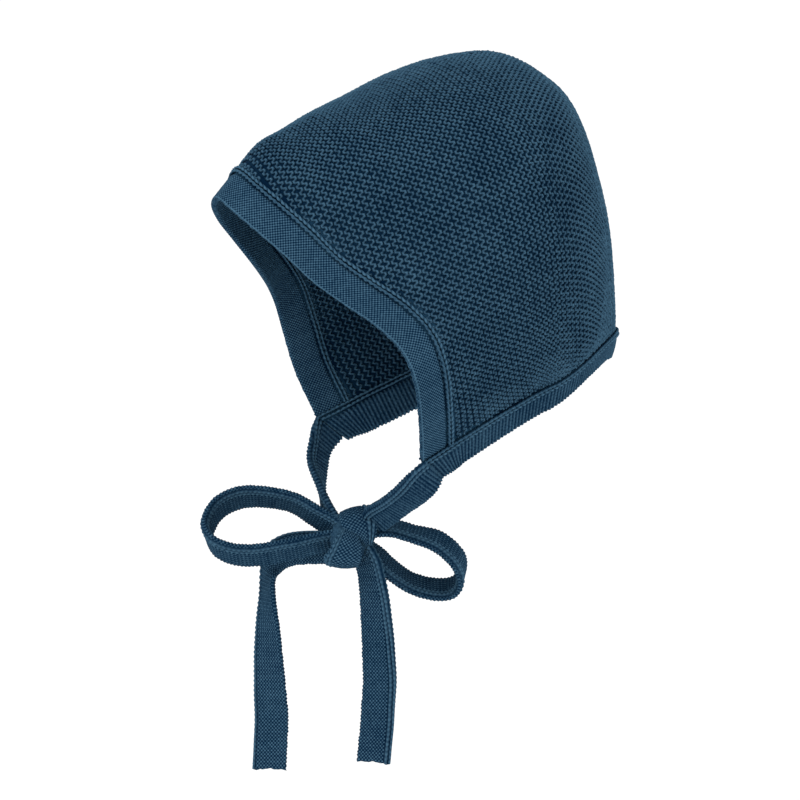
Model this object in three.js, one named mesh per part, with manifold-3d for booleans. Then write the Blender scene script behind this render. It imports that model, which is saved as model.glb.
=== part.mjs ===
// A knitted baby bonnet, held up as on a head, with its ties fastened in a bow below the chin.
// Millimetres, +Z up. The face looks along -Y and the wearer's left is +X. The origin is the
// inside of the top of the crown, where the bonnet sits on the head.
import * as THREE from 'three';
import Module from 'manifold-3d';

const wasm = await Module();
wasm.setup();

// Driving sizes of the crown, measured off the neck plane, which tips up towards the nape
const NECK_TILT_DEG = 14;
const WALL = 2.5; // knit of the crown and of the doubled face band
const CROWN_RISE = 137.6; // neck plane to the top of the crown
const CROWN_HALF_WIDTH = 60.3;
const WIDEST_AT = 63.9; // from the face corners back to the widest arch
const BACK_DEPTH = 57.7; // from the widest arch back to the back of the crown
const BACK_ROUNDNESS = 1.74; // 2 is an ellipse in plan
const NECK_LIFT = 4.1; // how far the neck edge rises on each side of the nape
const SIDE_SWELL = 1.25; // how soon the sides reach their full width behind the face
const TOP_SWELL = 2.9; // the same for the ridge over the top

// Face opening
const FACE_HALF_WIDTH = 58;
const FACE_RISE = 115; // neck plane to the top of the opening
const FACE_LEAD = 41.5; // how far the top of the opening leans in front of its corners

// Bands, seams and ties
const FACE_BAND_WIDTH = 12.4;
const SEAM_WIDTH = 2.6;
const SEAM_PROUD = 0.9; // how far a seam stands out of the knit beside it
const NECK_BAND_WIDTH = 9.4;
const CORNER_TURN = 24; // length over which the neck band turns down into a tie
const CORNER_LEAN = 0.6; // how far the band leans back at the corner, for each 1 that it goes down
const TIE_WIDTH = 14.5;
const TIE_THICKNESS = 2.6;
const GAP = 0.3; // between pieces that are sewn together

// Bow
const KNOT_DROP = 41; // below the face corners, plumb
const KNOT_LEAD = 9.5; // in front of the face corners
const KNOT_SIZE = 12;
const LOOP_REACH = 60;
const END_DROP = 92;
const TIE_ROOT = 1.2; // how far a tie reaches back before it is trimmed to the neck band's end

// Arch of the face opening, from a corner to the top, in shares of the face sizes
const FACE_ARCH = table(['reach', 'rise', 'lead'], [
  [0.800, 0.000, 0.000],
  [0.945, 0.158, 0.020],
  [1.000, 0.303, 0.017],
  [0.960, 0.420, 0.055],
  [0.825, 0.514, 0.170],
  [0.640, 0.597, 0.330],
  [0.495, 0.683, 0.490],
  [0.425, 0.783, 0.645],
  [0.335, 0.876, 0.795],
  [0.190, 0.955, 0.920],
  [0.000, 1.000, 1.000],
]);

// Widest arch of the crown, with the depth of the back at each height, in shares of the crown sizes
const CROWN_ARCH = table(['reach', 'rise', 'back'], [
  [0.665, 0.056, 0.930],
  [0.768, 0.129, 0.943],
  [0.875, 0.273, 0.980],
  [0.962, 0.424, 1.000],
  [1.000, 0.568, 0.983],
  [0.975, 0.704, 0.953],
  [0.880, 0.814, 0.880],
  [0.706, 0.898, 0.725],
  [0.480, 0.958, 0.555],
  [0.245, 0.990, 0.350],
  [0.000, 1.000, 0.000],
]);

// Ties: share of the way from the neck band to the knot, offset in shares of that length, and
// the direction from the tie's seamed edge to its plain edge, which starts as the neck band ends
const TIE_COLUMNS = ['along', 'x', 'y', 'z', 'edge_x', 'edge_y', 'edge_z'];
const TIE_LEFT = table(TIE_COLUMNS, [
  [0.00, 0.00, 0.00, 0.00, 0.03, 0.71, -0.70],
  [0.15, 0.02, 0.00, -0.02, 0.10, 0.80, -0.60],
  [0.43, 0.00, 0.04, -0.01, -0.03, 0.86, -0.50],
  [0.69, -0.04, 0.08, 0.01, -0.10, 0.71, -0.70],
  [0.87, -0.04, 0.08, 0.01, -0.35, 0.49, -0.80],
]);
const TIE_RIGHT = table(TIE_COLUMNS, [
  [0.00, 0.00, 0.00, 0.00, -0.03, 0.71, -0.70],
  [0.12, -0.05, -0.07, -0.03, -0.23, 0.77, -0.60],
  [0.27, -0.07, -0.11, -0.04, -0.35, 0.77, -0.54],
  [0.49, -0.05, -0.12, -0.02, -0.64, 0.45, -0.62],
  [0.70, -0.03, -0.10, 0.01, -0.79, 0.18, -0.59],
  [0.85, 0.00, -0.04, 0.02, -0.81, 0.00, -0.59],
]);

// Loops and ends of the bow: middle of the strap from the knot, in shares of the loop reach or of
// the end drop, and the direction from the seamed edge to the plain edge
const STRAP_COLUMNS = ['x', 'y', 'z', 'edge_x', 'edge_y', 'edge_z'];
const LOOP_LEFT = table(STRAP_COLUMNS, [
  [0.014, 0.141, 0.060, -0.83, 0.50, 0.25],
  [0.061, 0.290, 0.066, -0.80, 0.56, 0.20],
  [0.143, 0.425, 0.027, -0.78, 0.59, 0.19],
  [0.207, 0.574, -0.032, -0.72, 0.60, 0.32],
  [0.245, 0.699, -0.153, -0.69, 0.65, 0.30],
  [0.211, 0.757, -0.286, -0.75, 0.57, 0.32],
  [0.140, 0.727, -0.379, -0.81, 0.45, 0.36],
  [0.085, 0.618, -0.392, -0.83, 0.41, 0.38],
  [0.034, 0.472, -0.341, -0.82, 0.44, 0.36],
  [0.020, 0.342, -0.248, -0.77, 0.55, 0.33],
  [0.011, 0.210, -0.125, -0.71, 0.66, 0.25],
]);
const LOOP_RIGHT = table(STRAP_COLUMNS, [
  [-0.098, -0.043, 0.073, -0.68, 0.01, -0.73],
  [-0.260, -0.119, 0.136, -0.70, 0.11, -0.70],
  [-0.436, -0.204, 0.198, -0.68, 0.21, -0.70],
  [-0.605, -0.335, 0.212, -0.59, 0.31, -0.74],
  [-0.726, -0.462, 0.193, -0.52, 0.37, -0.77],
  [-0.766, -0.605, 0.121, -0.49, 0.42, -0.76],
  [-0.698, -0.712, 0.005, -0.47, 0.44, -0.76],
  [-0.568, -0.722, -0.076, -0.49, 0.42, -0.77],
  [-0.448, -0.627, -0.123, -0.52, 0.38, -0.77],
  [-0.351, -0.480, -0.122, -0.53, 0.38, -0.76],
  [-0.234, -0.312, -0.077, -0.54, 0.39, -0.74],
  [-0.124, -0.135, -0.025, -0.52, 0.42, -0.74],
]);
const END_LEFT = table(STRAP_COLUMNS, [
  [0.035, 0.066, -0.062, -0.86, -0.30, -0.40],
  [0.046, 0.087, -0.142, -0.92, -0.30, -0.24],
  [0.067, 0.093, -0.255, -0.88, -0.44, -0.16],
  [0.101, 0.095, -0.419, -0.78, -0.62, -0.11],
  [0.137, 0.088, -0.609, -0.63, -0.77, -0.06],
  [0.167, 0.065, -0.761, -0.50, -0.86, 0.00],
  [0.194, 0.026, -0.958, -0.48, -0.87, 0.11],
]);
const END_RIGHT = table(STRAP_COLUMNS, [
  [-0.085, -0.012, -0.045, 0.12, -0.21, -0.97],
  [-0.206, -0.095, -0.065, 0.16, -0.15, -0.98],
  [-0.286, -0.160, -0.090, 0.35, -0.07, -0.93],
  [-0.309, -0.215, -0.134, 0.80, 0.02, -0.60],
  [-0.292, -0.245, -0.199, 0.98, 0.00, 0.00],
  [-0.259, -0.262, -0.288, 0.97, 0.05, 0.20],
  [-0.203, -0.287, -0.444, 0.93, 0.30, 0.20],
  [-0.132, -0.314, -0.669, 0.76, 0.64, 0.11],
  [-0.090, -0.336, -0.837, 0.50, 0.86, 0.03],
  [-0.044, -0.369, -0.998, 0.47, 0.88, 0.00],
]);

// Rounded folds of the knot: middle and half sizes in shares of the knot size, turn about X in degrees
const KNOT_FOLDS = [
  { x: 0.03, y: -0.22, z: -0.24, across: 0.70, deep: 0.78, tall: 0.66, turn: 28 },
  { x: 0.08, y: 0.38, z: 0.52, across: 0.62, deep: 0.74, tall: 0.60, turn: -24 },
  { x: 0.00, y: 0.05, z: 0.10, across: 0.80, deep: 0.62, tall: 0.62, turn: 0 },
];

const WOOL = new THREE.MeshStandardMaterial({ color: 0x244257, roughness: 0.95, metalness: 0 });
const SEAM_WOOL = new THREE.MeshStandardMaterial({ color: 0x2b4d66, roughness: 0.95, metalness: 0 });

// Mesh fineness
const ARCH_STEPS = 26;
const FRONT_STEPS = 10;
const BACK_STEPS = 10;
const BAND_STEPS = 2;
const STRAP_STEPS = 34;
const STRAP_CROSS_STEPS = 2;
const KNOT_ROUND_STEPS = 20;
const WELD = 1e-4;
const NECK_SLOPE_STEP = 0.02;
const NORMAL_STEP = 1e-3;

function table(columns, rows) {
  return Object.fromEntries(columns.map((name, c) => [name, rows.map((row) => row[c])]));
}

// Catmull-Rom curve through evenly spaced values. At its end it runs straight on (0), turns back
// like a mirror image (1) or crosses zero like one (-1).
function smooth(values, share, end = 0) {
  const last = values.length - 1;
  const place = share * last;
  const i = Math.min(Math.max(Math.floor(place), 0), last - 1);
  const f = place - i;
  const after = end === 0 ? 2 * values[last] - values[last - 1] : end * values[last - 1];
  const a = i > 0 ? values[i - 1] : 2 * values[0] - values[1];
  const b = values[i];
  const c = values[i + 1];
  const d = i + 2 <= last ? values[i + 2] : after;
  const squared = (2 * a - 5 * b + 4 * c - d) * f * f;
  const cubed = (3 * b - a - 3 * c + d) * f * f * f;
  return 0.5 * (2 * b + (c - a) * f + squared + cubed);
}

const mix = (a, b, share) => a + (b - a) * share;
const ease = (share) => THREE.MathUtils.smoothstep(share, 0, 1);

// Points are worked out off the neck plane: x across, y back along it from the face corners, z off it
const SEAT = new THREE.Vector3(0, WIDEST_AT, CROWN_RISE - WALL);
const TILT = new THREE.Matrix4().makeRotationX(THREE.MathUtils.degToRad(NECK_TILT_DEG));
const placed = (x, y, z) => new THREE.Vector3(x, y, z).sub(SEAT).applyMatrix4(TILT);

// Outside of the crown. Depth runs from 0 at the face edge over 1 at the widest arch to 2 at the
// middle of the back, height from 0 at the neck edge to 1 at the top.
function crownPoint(depth, height) {
  const faceReach = FACE_HALF_WIDTH * smooth(FACE_ARCH.reach, height, -1);
  const faceRise = FACE_RISE * smooth(FACE_ARCH.rise, height, 1);
  const faceLead = FACE_LEAD * smooth(FACE_ARCH.lead, height, 1);
  const reach = CROWN_HALF_WIDTH * smooth(CROWN_ARCH.reach, height, -1);
  const rise = CROWN_RISE * smooth(CROWN_ARCH.rise, height, 1);
  const back = BACK_DEPTH * smooth(CROWN_ARCH.back, height, -1);
  if (depth <= 1) {
    const swell = mix(SIDE_SWELL, TOP_SWELL, height * height);
    const filled = 1 - (1 - depth) ** swell;
    return [mix(faceReach, reach, filled), mix(-faceLead, WIDEST_AT, depth), mix(faceRise, rise, filled)];
  }
  const turn = (Math.min(depth, 2) - 1) * Math.PI / 2;
  const lift = NECK_LIFT * (1 - height) ** 6 * Math.sin(2 * turn) ** 2;
  const across = reach * Math.cos(turn) ** (2 / BACK_ROUNDNESS);
  const behind = back * Math.sin(turn) ** (2 / BACK_ROUNDNESS);
  return [depth >= 2 ? 0 : across, WIDEST_AT + behind, rise + lift];
}

// Depth at which a height's line has run a distance over the surface from the face edge
function depthAt(height, distance) {
  const step = 0.005;
  let depth = 0;
  let run = 0;
  let from = placed(...crownPoint(0, height));
  while (depth < 1) {
    const to = placed(...crownPoint(depth + step, height));
    const more = from.distanceTo(to);
    if (run + more >= distance) return depth + step * (distance - run) / more;
    run += more;
    depth += step;
    from = to;
  }
  return depth;
}

// Neck edge, from the face corner (0) to the nape (2). What hangs from it goes on down as the
// crown does, and leans back towards a face corner, where it turns down into a tie.
function neckFrame(depth) {
  const here = new THREE.Vector3(...crownPoint(depth, 0));
  const down = here.clone().sub(new THREE.Vector3(...crownPoint(depth, NECK_SLOPE_STEP))).normalize();
  const settled = ease(depth * WIDEST_AT / CORNER_TURN);
  down.y += CORNER_LEAN * (1 - settled);
  const full = mix(TIE_WIDTH, SEAM_WIDTH + GAP + NECK_BAND_WIDTH, settled);
  return { here, down: down.normalize(), full };
}

function neckPoint(depth, share) {
  const { here, down, full } = neckFrame(depth);
  return here.addScaledVector(down, GAP + share * full).toArray();
}

// A sheet of triangles, built up from patches and then given a thickness along its normals
class Sheet {
  constructor() {
    this.points = [];
    this.normals = [];
    this.faces = [];
    this.known = new Map();
  }

  point(v, normal) {
    const key = [v.x, v.y, v.z].map((value) => Math.round(value / WELD)).join();
    if (!this.known.has(key)) {
      this.known.set(key, this.points.length);
      this.points.push(v);
      this.normals.push(new THREE.Vector3());
    }
    const index = this.known.get(key);
    this.normals[index].add(normal);
    return index;
  }

  triangle(a, b, c) {
    if (a !== b && b !== c && c !== a) this.faces.push([a, b, c]);
  }

  patch(stepsA, stepsB, at, turn = 1) {
    const normalAt = (a, b) => {
      const along = at(a + NORMAL_STEP, b).sub(at(a - NORMAL_STEP, b));
      const across = at(a, b + NORMAL_STEP).sub(at(a, b - NORMAL_STEP));
      return along.cross(across).normalize().multiplyScalar(turn);
    };
    const grid = [];
    for (let i = 0; i <= stepsA; i++) {
      for (let j = 0; j <= stepsB; j++) {
        const place = [i / stepsA, j / stepsB];
        grid.push(this.point(at(...place), normalAt(...place)));
      }
    }
    for (let i = 0; i < stepsA; i++) {
      for (let j = 0; j < stepsB; j++) {
        const first = i * (stepsB + 1) + j;
        const corners = [first, first + stepsB + 1, first + stepsB + 2, first + 1].map((k) => grid[k]);
        if (turn < 0) corners.reverse();
        this.triangle(corners[0], corners[1], corners[2]);
        this.triangle(corners[0], corners[2], corners[3]);
      }
    }
    return this;
  }

  // The same patch on the wearer's left and, mirrored, on the right
  pair(stepsA, stepsB, at) {
    const mirrored = (a, b) => {
      const [x, y, z] = at(a, b);
      return placed(-x, y, z);
    };
    this.patch(stepsA, stepsB, (a, b) => placed(...at(a, b)));
    return this.patch(stepsA, stepsB, mirrored, -1);
  }

  // Closed wall from the sheet, reaching out along its normals and in against them
  wall(out, inward) {
    const normals = this.normals.map((sum) => sum.clone().normalize());
    const count = this.points.length;
    const outer = this.points.map((p, i) => p.clone().addScaledVector(normals[i], out));
    const inner = this.points.map((p, i) => p.clone().addScaledVector(normals[i], -inward));
    const edges = new Map();
    const faces = [];
    for (const [a, b, c] of this.faces) {
      faces.push([a, b, c], [c + count, b + count, a + count]);
      for (const [from, to] of [[a, b], [b, c], [c, a]]) {
        const back = `${to},${from}`;
        if (edges.has(back)) edges.delete(back);
        else edges.set(`${from},${to}`, [from, to]);
      }
    }
    for (const [from, to] of edges.values()) {
      faces.push([to, from, from + count], [to, from + count, to + count]);
    }
    return solid([...outer, ...inner], faces);
  }
}

function solid(points, faces) {
  const mesh = new wasm.Mesh({
    numProp: 3,
    vertProperties: new Float32Array(points.flatMap((p) => p.toArray())),
    triVerts: new Uint32Array(faces.flat()),
  });
  return new wasm.Manifold(mesh);
}

// The largest body that is left of a solid once others are cut from it
function cutBy(whole, others) {
  const left = others.reduce((rest, other) => rest.subtract(other), whole);
  return left.decompose().sort((a, b) => b.volume() - a.volume())[0];
}

// Strip round the face opening, between two distances from its edge, or all round it by a room to grow
function faceStrip(near, far, out, grow = 0) {
  const low = -grow / FACE_RISE;
  const at = (a, b) => {
    const height = mix(low, 1, b);
    return crownPoint(mix(depthAt(height, near - grow), depthAt(height, far + grow), a), height);
  };
  return new Sheet().pair(BAND_STEPS, ARCH_STEPS, at).wall(out + grow, WALL + grow);
}

function crown() {
  const edge = FACE_BAND_WIDTH + SEAM_WIDTH + 2 * GAP;
  const sheet = new Sheet();
  sheet.pair(FRONT_STEPS, ARCH_STEPS, (a, b) => crownPoint(mix(depthAt(b, edge), 1, a), b));
  sheet.pair(BACK_STEPS, ARCH_STEPS, (a, b) => crownPoint(1 + a, b));
  return sheet.wall(0, WALL);
}

// Strip hanging from the neck edge, between two distances down it, or all round it by a room to grow
function neckStrip(near, far, out, grow = 0) {
  const full = SEAM_WIDTH + GAP + NECK_BAND_WIDTH;
  const share = (b) => mix(far + grow, near - grow, b) / full;
  const first = -grow / WIDEST_AT;
  const sheet = new Sheet();
  sheet.pair(FRONT_STEPS, BAND_STEPS, (a, b) => neckPoint(mix(first, 1, a), share(b)));
  sheet.pair(BACK_STEPS, BAND_STEPS, (a, b) => neckPoint(1 + a, share(b)));
  return sheet.wall(out + grow, WALL + grow);
}

// Middle of the neck band's end, where a tie begins, on the wearer's left (1) or right (-1)
function tieStart(side) {
  const [x, y, z] = neckPoint(0, 0.5);
  return placed(side * x, y, z);
}

// Direction across the neck band's end, from its seamed edge to its plain edge
function tieAcross(side) {
  const { down } = neckFrame(0);
  return new THREE.Vector3(side * down.x, down.y, down.z).applyMatrix4(TILT);
}

const KNOT = placed(0, 0, 0).add(new THREE.Vector3(0, -KNOT_LEAD, -KNOT_DROP));

// A flat strap through rows of middles and edge directions
function strap(rows, middleAt, grow = 0) {
  const edgeAt = (share) => new THREE.Vector3(
    smooth(rows.edge_x, share),
    smooth(rows.edge_y, share),
    smooth(rows.edge_z, share),
  ).normalize();
  const width = TIE_WIDTH + 2 * grow;
  const spare = grow / END_DROP;
  const at = (a, b) => {
    const share = mix(-spare, 1 + spare, a);
    return middleAt(share).addScaledVector(edgeAt(share), (b - 0.5) * width);
  };
  const half = TIE_THICKNESS / 2 + grow;
  return new Sheet().patch(STRAP_STEPS, STRAP_CROSS_STEPS, at).wall(half, half);
}

function bowStrap(rows, scale, grow = 0) {
  const middleAt = (share) => new THREE.Vector3(
    smooth(rows.x, share),
    smooth(rows.y, share),
    smooth(rows.z, share),
  ).multiplyScalar(scale).add(KNOT);
  return strap(rows, middleAt, grow);
}

function tie(rows, side, grow = 0) {
  const start = tieStart(side);
  const across = tieAcross(side);
  const turned = {
    edge_x: [across.x, ...rows.edge_x.slice(1)],
    edge_y: [across.y, ...rows.edge_y.slice(1)],
    edge_z: [across.z, ...rows.edge_z.slice(1)],
  };
  const span = KNOT.clone().sub(start);
  const length = span.length();
  const root = TIE_ROOT / length;
  const middleAt = (share) => start.clone()
    .addScaledVector(span, mix(-root, 1, smooth(rows.along, share)))
    .add(new THREE.Vector3(
      smooth(rows.x, share),
      smooth(rows.y, share),
      smooth(rows.z, share),
    ).multiplyScalar(length));
  return strap(turned, middleAt, grow);
}

function knot(grow = 0) {
  const folds = KNOT_FOLDS.map((fold) => {
    const ball = new THREE.SphereGeometry(1, KNOT_ROUND_STEPS, KNOT_ROUND_STEPS / 2);
    const sizes = [fold.across, fold.deep, fold.tall].map((share) => share * KNOT_SIZE + grow);
    ball.scale(...sizes);
    ball.rotateX(THREE.MathUtils.degToRad(fold.turn));
    ball.translate(fold.x * KNOT_SIZE, fold.y * KNOT_SIZE, fold.z * KNOT_SIZE);
    ball.translate(KNOT.x, KNOT.y, KNOT.z);
    return closedSolid(ball);
  });
  return folds.reduce((whole, fold) => whole.add(fold));
}

function closedSolid(geometry) {
  const sheet = new Sheet();
  const position = geometry.getAttribute('position');
  const normal = geometry.getAttribute('normal');
  const ids = [];
  for (let i = 0; i < position.count; i++) {
    const point = new THREE.Vector3().fromBufferAttribute(position, i);
    ids.push(sheet.point(point, new THREE.Vector3().fromBufferAttribute(normal, i)));
  }
  const index = geometry.getIndex().array;
  for (let i = 0; i < index.length; i += 3) {
    sheet.triangle(ids[index[i]], ids[index[i + 1]], ids[index[i + 2]]);
  }
  return solid(sheet.points, sheet.faces);
}

const bonnet = new THREE.Group();

function add(name, body, material) {
  const { numProp, vertProperties, triVerts } = body.getMesh();
  const geometry = new THREE.BufferGeometry();
  geometry.setAttribute('position', new THREE.BufferAttribute(new Float32Array(vertProperties), numProp));
  geometry.setIndex(new THREE.BufferAttribute(new Uint32Array(triVerts), 1));
  geometry.computeVertexNormals();
  const mesh = new THREE.Mesh(geometry, material);
  mesh.name = name;
  bonnet.add(mesh);
}

// Crown, bands and the raised seams between them
const faceSeamFrom = FACE_BAND_WIDTH + GAP;
const neckBandFrom = SEAM_WIDTH + GAP;
const neckBandTo = neckBandFrom + NECK_BAND_WIDTH;
add('crown', crown(), WOOL);
add('face_band', faceStrip(0, FACE_BAND_WIDTH, 0), WOOL);
add('face_seam', faceStrip(faceSeamFrom, faceSeamFrom + SEAM_WIDTH, SEAM_PROUD), SEAM_WOOL);
add('neck_seam', neckStrip(0, SEAM_WIDTH, SEAM_PROUD), SEAM_WOOL);
add('neck_band', neckStrip(neckBandFrom, neckBandTo, 0), WOOL);

// Bow. Each strap ends just off the knot, and passes clear of the straps laid before it.
const laid = [
  knot(GAP),
  neckStrip(0, neckBandTo, SEAM_PROUD, GAP),
  faceStrip(0, FACE_BAND_WIDTH, 0, GAP),
];
const straps = [
  ['bow_loop_left', (grow) => bowStrap(LOOP_LEFT, LOOP_REACH, grow)],
  ['bow_loop_right', (grow) => bowStrap(LOOP_RIGHT, LOOP_REACH, grow)],
  ['tie_left', (grow) => tie(TIE_LEFT, 1, grow)],
  ['tie_right', (grow) => tie(TIE_RIGHT, -1, grow)],
  ['tie_end_left', (grow) => bowStrap(END_LEFT, END_DROP, grow)],
  ['tie_end_right', (grow) => bowStrap(END_RIGHT, END_DROP, grow)],
];
add('bow_knot', knot(), WOOL);
for (const [name, make] of straps) {
  add(name, cutBy(make(0), laid), WOOL);
  laid.push(make(GAP));
}

export default bonnet;
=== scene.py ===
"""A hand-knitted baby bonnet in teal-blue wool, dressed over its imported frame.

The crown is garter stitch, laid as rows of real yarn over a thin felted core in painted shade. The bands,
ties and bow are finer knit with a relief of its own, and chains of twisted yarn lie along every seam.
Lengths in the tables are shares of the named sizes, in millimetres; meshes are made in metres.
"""
import logging
import math
from collections.abc import Callable, Sequence
from dataclasses import dataclass
from enum import Enum

import bpy
import numpy as np
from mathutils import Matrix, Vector


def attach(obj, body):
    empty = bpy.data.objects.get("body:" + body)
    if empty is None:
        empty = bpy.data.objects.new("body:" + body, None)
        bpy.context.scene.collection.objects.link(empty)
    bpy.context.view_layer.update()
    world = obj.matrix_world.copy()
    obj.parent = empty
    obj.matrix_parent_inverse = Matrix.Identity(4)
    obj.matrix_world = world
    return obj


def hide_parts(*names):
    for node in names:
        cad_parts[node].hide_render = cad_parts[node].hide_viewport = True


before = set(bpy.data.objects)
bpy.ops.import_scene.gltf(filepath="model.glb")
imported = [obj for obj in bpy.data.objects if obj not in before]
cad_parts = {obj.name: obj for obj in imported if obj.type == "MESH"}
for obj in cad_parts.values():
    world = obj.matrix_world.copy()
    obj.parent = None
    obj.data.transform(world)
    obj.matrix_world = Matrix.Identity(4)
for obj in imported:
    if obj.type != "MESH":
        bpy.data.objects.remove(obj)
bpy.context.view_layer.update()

LOG = logging.getLogger("bonnet")
Array = np.ndarray
MM = 0.001
TURN = 2 * math.pi
BODY = "root"

# Seeds of the unevenness
SEED = 41
PANEL_SEED = SEED + 5
FABRIC_SEED = SEED + 11

# Guards against division by nothing, and how finely long lines are read
SHORTEST = 1e-12
THINNEST = 1e-6
FINE_RUN = 801
EVEN_RUN = 900
DEPTH_RUN = 161

# Painted light of a tube of yarn, put into its colour: painted shade at the bottom of the knit, at its flanks and in
# its twist's grooves, and a painted highlight along its top
LOW_PAINTED_LIGHT = 0.35
FLANK_PAINTED_LIGHT = 0.22
TOP_PAINTED_HIGHLIGHT = 0.83
GROOVE_PAINTED_SHADE = 3.4


# Curves and small vector helpers


def smooth(values: Sequence[float], share: Array | float, end: int = 0) -> Array:
    """A Catmull-Rom curve through evenly spaced values.

    Args:
        values: The values, from share 0 to share 1.
        share: Where to read the curve.
        end: 0 runs straight on past the last value, 1 mirrors there, -1 crosses zero there.

    Returns:
        The curve's values at those shares.
    """
    v = np.asarray(values, float)
    last = len(v) - 1
    after = 2 * v[last] - v[last - 1] if end == 0 else end * v[last - 1]
    padded = np.concatenate([[2 * v[0] - v[1]], v, [after]])
    place = np.asarray(share, float) * last
    i = np.clip(np.floor(place).astype(int), 0, last - 1)
    f = place - i
    a, b, c, d = (padded[i + k] for k in range(4))
    squared = (2 * a - 5 * b + 4 * c - d) * f**2
    cubed = (3 * b - a - 3 * c + d) * f**3
    return 0.5 * (2 * b + (c - a) * f + squared + cubed)


def mix(a: Array | float, b: Array | float, share: Array | float) -> Array:
    """The value a share of the way from a to b."""
    return a + (b - a) * share


def curves(columns: Sequence[Sequence[float]], share: Array) -> Array:
    """Points or directions along a table's columns, each read as a smooth curve."""
    return np.stack([smooth(column, share) for column in columns], -1)


def ease(share: Array | float) -> Array:
    """A share from 0 to 1 with soft ends."""
    s = np.clip(share, 0.0, 1.0)
    return s * s * (3 - 2 * s)


def unit(vectors: Array) -> Array:
    """The vectors, each scaled to length 1."""
    return vectors / np.maximum(np.linalg.norm(vectors, axis=-1, keepdims=True), SHORTEST)


def bump(values: Array, middle: float, width: float) -> Array:
    """A smooth bump of height 1 about a middle."""
    return np.exp(-(((values - middle) / width) ** 2))


def run_of(points: Array) -> Array:
    """The length run along a line of points, at each of them."""
    steps = np.linalg.norm(np.diff(points, axis=0), axis=1)
    return np.concatenate([[0.0], np.cumsum(steps)])


def wander(places: Array, reach: float, rng: np.random.Generator) -> Array:
    """Slow, seeded unevenness of a hand knitter, between about -1 and 1.

    Args:
        places: Lengths along the work.
        reach: The length over which the unevenness changes.
        rng: The seeded source of the phases.

    Returns:
        One value for each place.
    """
    waves = [(1.0, 0.5), (2.3, 0.3), (4.1, 0.2)]
    last_phase = 6.28
    total = np.zeros(np.shape(places))
    for pace, height in waves:
        total = total + height * np.sin(TURN * pace * places / reach + rng.uniform(0, last_phase))
    return total


# Meshes


@dataclass
class Shell:
    """Points and faces of a piece under construction, with the painted light and the stitches that its finish reads
    at each point.
    """

    points: list[Array]
    faces: list[Array]
    painted_light: list[Array]
    stitch: list[Array]

    @classmethod
    def empty(cls) -> "Shell":
        """A shell with nothing in it."""
        return cls([], [], [], [])

    def add(self, points: Array, faces: Array, painted_light: Array | float, stitch: Array | None = None) -> None:
        """Adds a part.

        Args:
            points: The part's points, in millimetres.
            faces: Its four-sided faces, as numbers of its own points.
            painted_light: Painted light at each point, from 0 to 1: painted shade low in the knit, painted highlight
                near its top.
            stitch: At each point the stitches along and across, and how clearly fine stitches show.
        """
        start = sum(len(p) for p in self.points)
        self.points.append(points)
        self.faces.append(faces + start)
        self.painted_light.append(np.broadcast_to(painted_light, (len(points),)))
        self.stitch.append(np.zeros((len(points), 3)) if stitch is None else stitch)

    def piece(
        self, name: str, material: bpy.types.Material, nodes: Sequence[str], slot: str = "wool",
    ) -> bpy.types.Object:
        """Makes the Blender piece, rides it on the bonnet and hides the solids that it stands for.

        Args:
            name: The piece's name.
            material: Its finish.
            nodes: The solids that it stands for.
            slot: Not used.

        Returns:
            The new object.
        """
        points = np.concatenate(self.points) * MM
        faces = np.concatenate(self.faces)
        corners = faces.shape[1]
        mesh = bpy.data.meshes.new(name)
        mesh.vertices.add(len(points))
        mesh.vertices.foreach_set("co", points.astype(np.float32).ravel())
        mesh.loops.add(faces.size)
        mesh.loops.foreach_set("vertex_index", faces.astype(np.int32).ravel())
        mesh.polygons.add(len(faces))
        mesh.polygons.foreach_set("loop_start", np.arange(0, faces.size, corners, dtype=np.int32))
        mesh.polygons.foreach_set("loop_total", np.full(len(faces), corners, dtype=np.int32))
        mesh.update(calc_edges=True)
        mesh.validate()
        mesh.polygons.foreach_set("use_smooth", np.ones(len(mesh.polygons), dtype=bool))
        # Painted light and shade at each point, which the finish turns into lighter or darker colour
        painted_light = mesh.attributes.new("painted_light", "FLOAT", "POINT")
        painted_light.data.foreach_set("value", np.concatenate(self.painted_light).astype(np.float32))
        stitch = mesh.attributes.new("stitch", "FLOAT_VECTOR", "POINT")
        stitch.data.foreach_set("vector", np.concatenate(self.stitch).astype(np.float32).ravel())
        mesh.materials.append(material)
        obj = bpy.data.objects.new(name, mesh)
        bpy.context.scene.collection.objects.link(obj)
        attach(obj, BODY)
        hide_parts(*nodes)
        LOG.info("%s: %d points, %d faces", name, len(points), len(faces))
        return obj


def grid_faces(rows: int, columns: int, closed: bool = False) -> Array:
    """Four-sided faces of a grid of points, numbered row by row.

    Args:
        rows: How many rows of points there are.
        columns: How many points a row has.
        closed: Whether the last column joins the first.

    Returns:
        One row of four point numbers for each face.
    """
    here = np.arange(rows - 1)[:, None] * columns
    j = np.arange(columns if closed else columns - 1)[None, :]
    after_j = (j + 1) % columns
    corners = [here + j, here + columns + j, here + columns + after_j, here + after_j]
    return np.stack(corners, -1).reshape(-1, 4)


def end_caps(sides: int, final: int) -> Array:
    """Four-sided faces that close both ends of a tube.

    Args:
        sides: How many sides the tube has, an even number.
        final: Number of the first point of its last ring.

    Returns:
        One row of four point numbers for each face.
    """
    caps = []
    for k in range(1, sides - 2, 2):
        caps.append([0, k, k + 1, k + 2])
        caps.append([final, final + k + 2, final + k + 1, final + k])
    return np.array(caps)


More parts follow.
